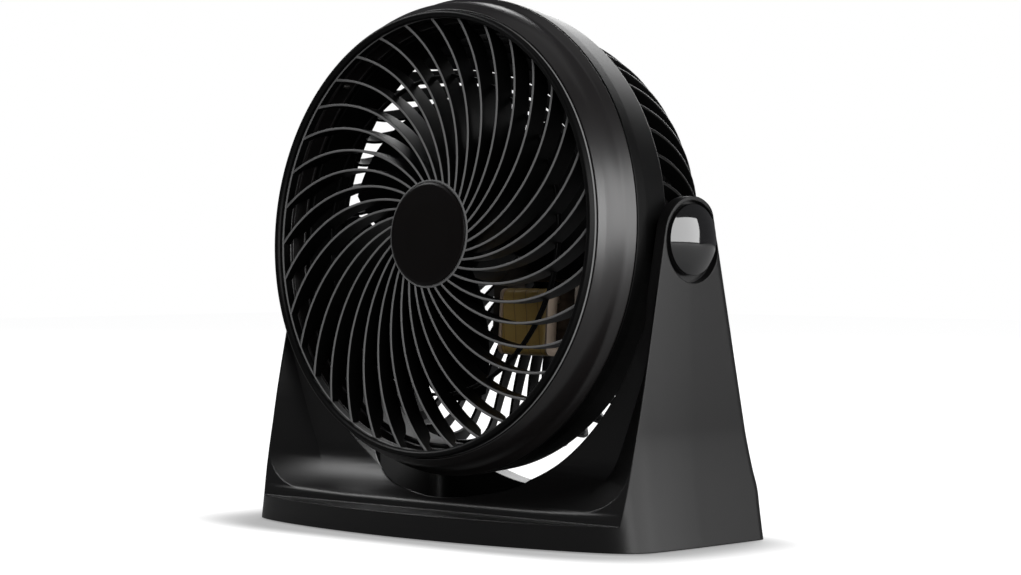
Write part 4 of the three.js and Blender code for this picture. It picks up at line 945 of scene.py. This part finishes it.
def well_outline(inset=0.0):
    """The well in the floor, bowed like the skirt in front."""
    wide, front, rear = POCKET_HALF_WIDTH + inset, POCKET_FRONT - inset, POCKET_REAR + inset
    t = np.linspace(0, 1, 25)[:, None]
    bow = ((1 - t) ** 3 * [0, front] + 3 * t * (1 - t) ** 2 * [34, front]
           + 3 * t ** 2 * (1 - t) * [74, front + 12] + t ** 3 * [wide, front + 38])
    corner = arc((wide - 10, rear - 10), 10, 0, 90, 10)
    right = np.concatenate([bow, corner])
    return np.concatenate([right, right[1:][::-1] * [-1, 1]])


def stand_mesh():
    """The outside skin, cut by the side outline, the head's room, the front, the well and the pivot bores."""
    levels = np.concatenate([
        [FOOT_HEIGHT], np.linspace(4, 18, 8), np.linspace(PLINTH_HEIGHT, PLINTH_TOP, 14),
        np.linspace(42, 62, 9), [90, 130, PIVOT_HEIGHT + CHEEK_TOP_RADIUS + 4]])
    cavity = carve("cavity", capped(stand_loops([-5, CAVITY_TOP], WALL)),
                   ("DIFFERENCE", slab(well_outline(WALL), 2, 3.5, 60)))
    inside = (np.array([v.co for v in cavity.vertices]), [tuple(f.vertices) for f in cavity.polygons])
    steps = [("INTERSECT", slab(side_outline(), 0, -180, 180)),
             ("DIFFERENCE", slab(swing_outline(), 1, FRONT - 50, BASE_REAR + 50)),
             ("DIFFERENCE", front_cut()),
             ("DIFFERENCE", slab(well_outline(), 2, -3, 80)),
             ("DIFFERENCE", inside)]
    for side in (-1, 1):
        bores = ((RECESS_RADIUS, RECESS_DROP, RECESS_FLOOR), (TRUNNION_BORE, 0, CHEEK_INSIDE - 5))
        for radius, drop, depth in bores:
            bore = arc((0, PIVOT_HEIGHT - drop), radius, 0, 360, 97)[:-1]
            steps.append(("DIFFERENCE", slab(bore, 0, side * depth, side * 160)))
    mesh = carve("stand_body", capped(stand_loops(levels)), *steps)
    points = np.array([v.co for v in mesh.vertices])
    return mesh_of("stand_body", placed(points, "stand"), [tuple(f.vertices) for f in mesh.polygons])


shown("stand_body", stand_mesh(), "stand", stand_black, "stand_plastic", "stand_shell", sharp=24)


# ---- CAD nodes that stay in view -----------------------------------------------------------------
def smooth_setup():
    """Merges a node's loose faces and shades them smoothly up to 35 degrees."""
    group = bpy.data.node_groups.new("even faces", "GeometryNodeTree")
    group.interface.new_socket("Geometry", in_out="INPUT", socket_type="NodeSocketGeometry")
    group.interface.new_socket("Geometry", in_out="OUTPUT", socket_type="NodeSocketGeometry")
    start, end = group.nodes.new("NodeGroupInput"), group.nodes.new("NodeGroupOutput")
    merge = group.nodes.new("GeometryNodeMergeByDistance")
    merge.inputs["Distance"].default_value = 1e-6
    faces = group.nodes.new("GeometryNodeSetShadeSmooth")
    edges = group.nodes.new("GeometryNodeSetShadeSmooth")
    edges.domain = "EDGE"
    angle = group.nodes.new("GeometryNodeInputMeshEdgeAngle")
    compare = group.nodes.new("FunctionNodeCompare")
    compare.operation = "LESS_THAN"
    compare.inputs[1].default_value = math.radians(35)
    join = group.links.new
    join(start.outputs[0], merge.inputs["Geometry"])
    join(merge.outputs[0], faces.inputs["Geometry"])
    join(faces.outputs[0], edges.inputs["Geometry"])
    join(angle.outputs["Unsigned Angle"], compare.inputs[0])
    join(compare.outputs[0], edges.inputs["Shade Smooth"])
    join(edges.outputs[0], end.inputs[0])
    return group


NODE_FINISH = {"stand_plastic": stand_black, "housing_plastic": ring_black, "grille_plastic": rib_black,
               "button_plastic": button_gloss, "blade_plastic": blade_black, "inner_plastic": white_nylon,
               "rubber": foot_rubber, "steel": zinc, "lamination": lamination_steel, "coil_tape": coil_tape,
               "bronze": bronze}
even_faces = smooth_setup()
for part in frame["record"]["subparts"]:
    node = frame["nodes"][part["node"]]
    node.data.materials.clear()
    node.data.materials.append(NODE_FINISH[part["material_slot"]])
    modifier = node.modifiers.new("even faces", "NODES")
    modifier.node_group = even_faces


# ---- floor, backdrop and lights ------------------------------------------------------------------
def lay_floor():
    """A floor of pale grey with a painted contact shadow: to the camera it glows by 0.3 + 0.65 t, where t
    rises smoothly from 0 to 1 while d = ((x / 0.152)^4 + (y / 0.073)^4)^(1/4), from the middle of the stand,
    goes from 0.97 to 1.32, so it glows least round the stand."""
    finish = Finish("pale floor with painted shadow")
    camera_ray = finish.node("ShaderNodeLightPath", output="Is Camera Ray")
    middle = ((FRONT + BASE_REAR) / 2 + PIVOT[1]) * MM
    across = finish.along("X") * (1 / 0.152)
    back = (finish.along("Y") - middle) * (1 / 0.073)
    # painted shadow: the floor glows less to the camera close round the stand, darkest just round its outline
    glow_with_painted_shadow = finish.step((across ** 4 + back ** 4) ** 0.25, 0.97, 1.32, 0.3, 0.95)
    finish.set(base_color=(0.35, 0.35, 0.35, 1), roughness=0.9, specular_ior_level=0.1,
               emission_color=finish.blend(camera_ray * glow_with_painted_shadow, (0, 0, 0, 1), (1, 1, 1, 1)),
               emission_strength=1.0)
    reach = 4
    corners = [(-reach, -reach, 0), (reach, -reach, 0), (reach, reach, 0), (-reach, reach, 0)]
    mesh = bpy.data.meshes.new("floor")
    mesh.from_pydata(corners, [], [(0, 1, 2, 3)])
    mesh.materials.append(finish.material)
    floor = bpy.data.objects.new("floor", mesh)
    bpy.context.scene.collection.objects.link(floor)


def light_world():
    """The world is white to the camera and a soft grey to everything else."""
    world = bpy.data.worlds.new("studio")
    bpy.context.scene.world = world
    world.use_nodes = True
    nodes, links = world.node_tree.nodes, world.node_tree.links
    background = next(n for n in nodes if n.type == "BACKGROUND")
    path = nodes.new("ShaderNodeLightPath")
    mix = nodes.new("ShaderNodeMix")
    mix.data_type = "RGBA"
    mix.inputs[6].default_value = (0.07, 0.07, 0.074, 1)
    mix.inputs[7].default_value = (1, 1, 1, 1)
    links.new(path.outputs["Is Camera Ray"], mix.inputs[0])
    links.new(mix.outputs[2], background.inputs["Color"])


def softbox(name, place, aim, width, height, power):
    """A rectangular soft lamp that faces a point; places are metres in the frame."""
    lamp = bpy.data.lights.new(name, "AREA")
    lamp.shape = "RECTANGLE"
    lamp.size, lamp.size_y = width, height
    lamp.energy = power
    obj = bpy.data.objects.new(name, lamp)
    obj.location = place
    obj.rotation_euler = (Vector(aim) - Vector(place)).to_track_quat("-Z", "Y").to_euler()
    bpy.context.scene.collection.objects.link(obj)


lay_floor()
light_world()
softbox("right box", (2.2, 0.75, 0.7), (0, 0.75, 0.5), 3.4, 1.3, 56)
softbox("front right box", (1.85, -1.3, 0.64), (0, 0, 0.16), 0.7, 1.15, 21)
softbox("rear left fill", (-1.2, 2.6, 1.3), (0, 0, 0.16), 1.8, 1.4, 34)
softbox("high left box", (-1.55, -0.8, 1.55), (0, 0, 0.16), 1.0, 0.7, 18)
softbox("top box", (0.1, 0.2, 2.2), (0, 0, 0.1), 1.6, 1.6, 2)
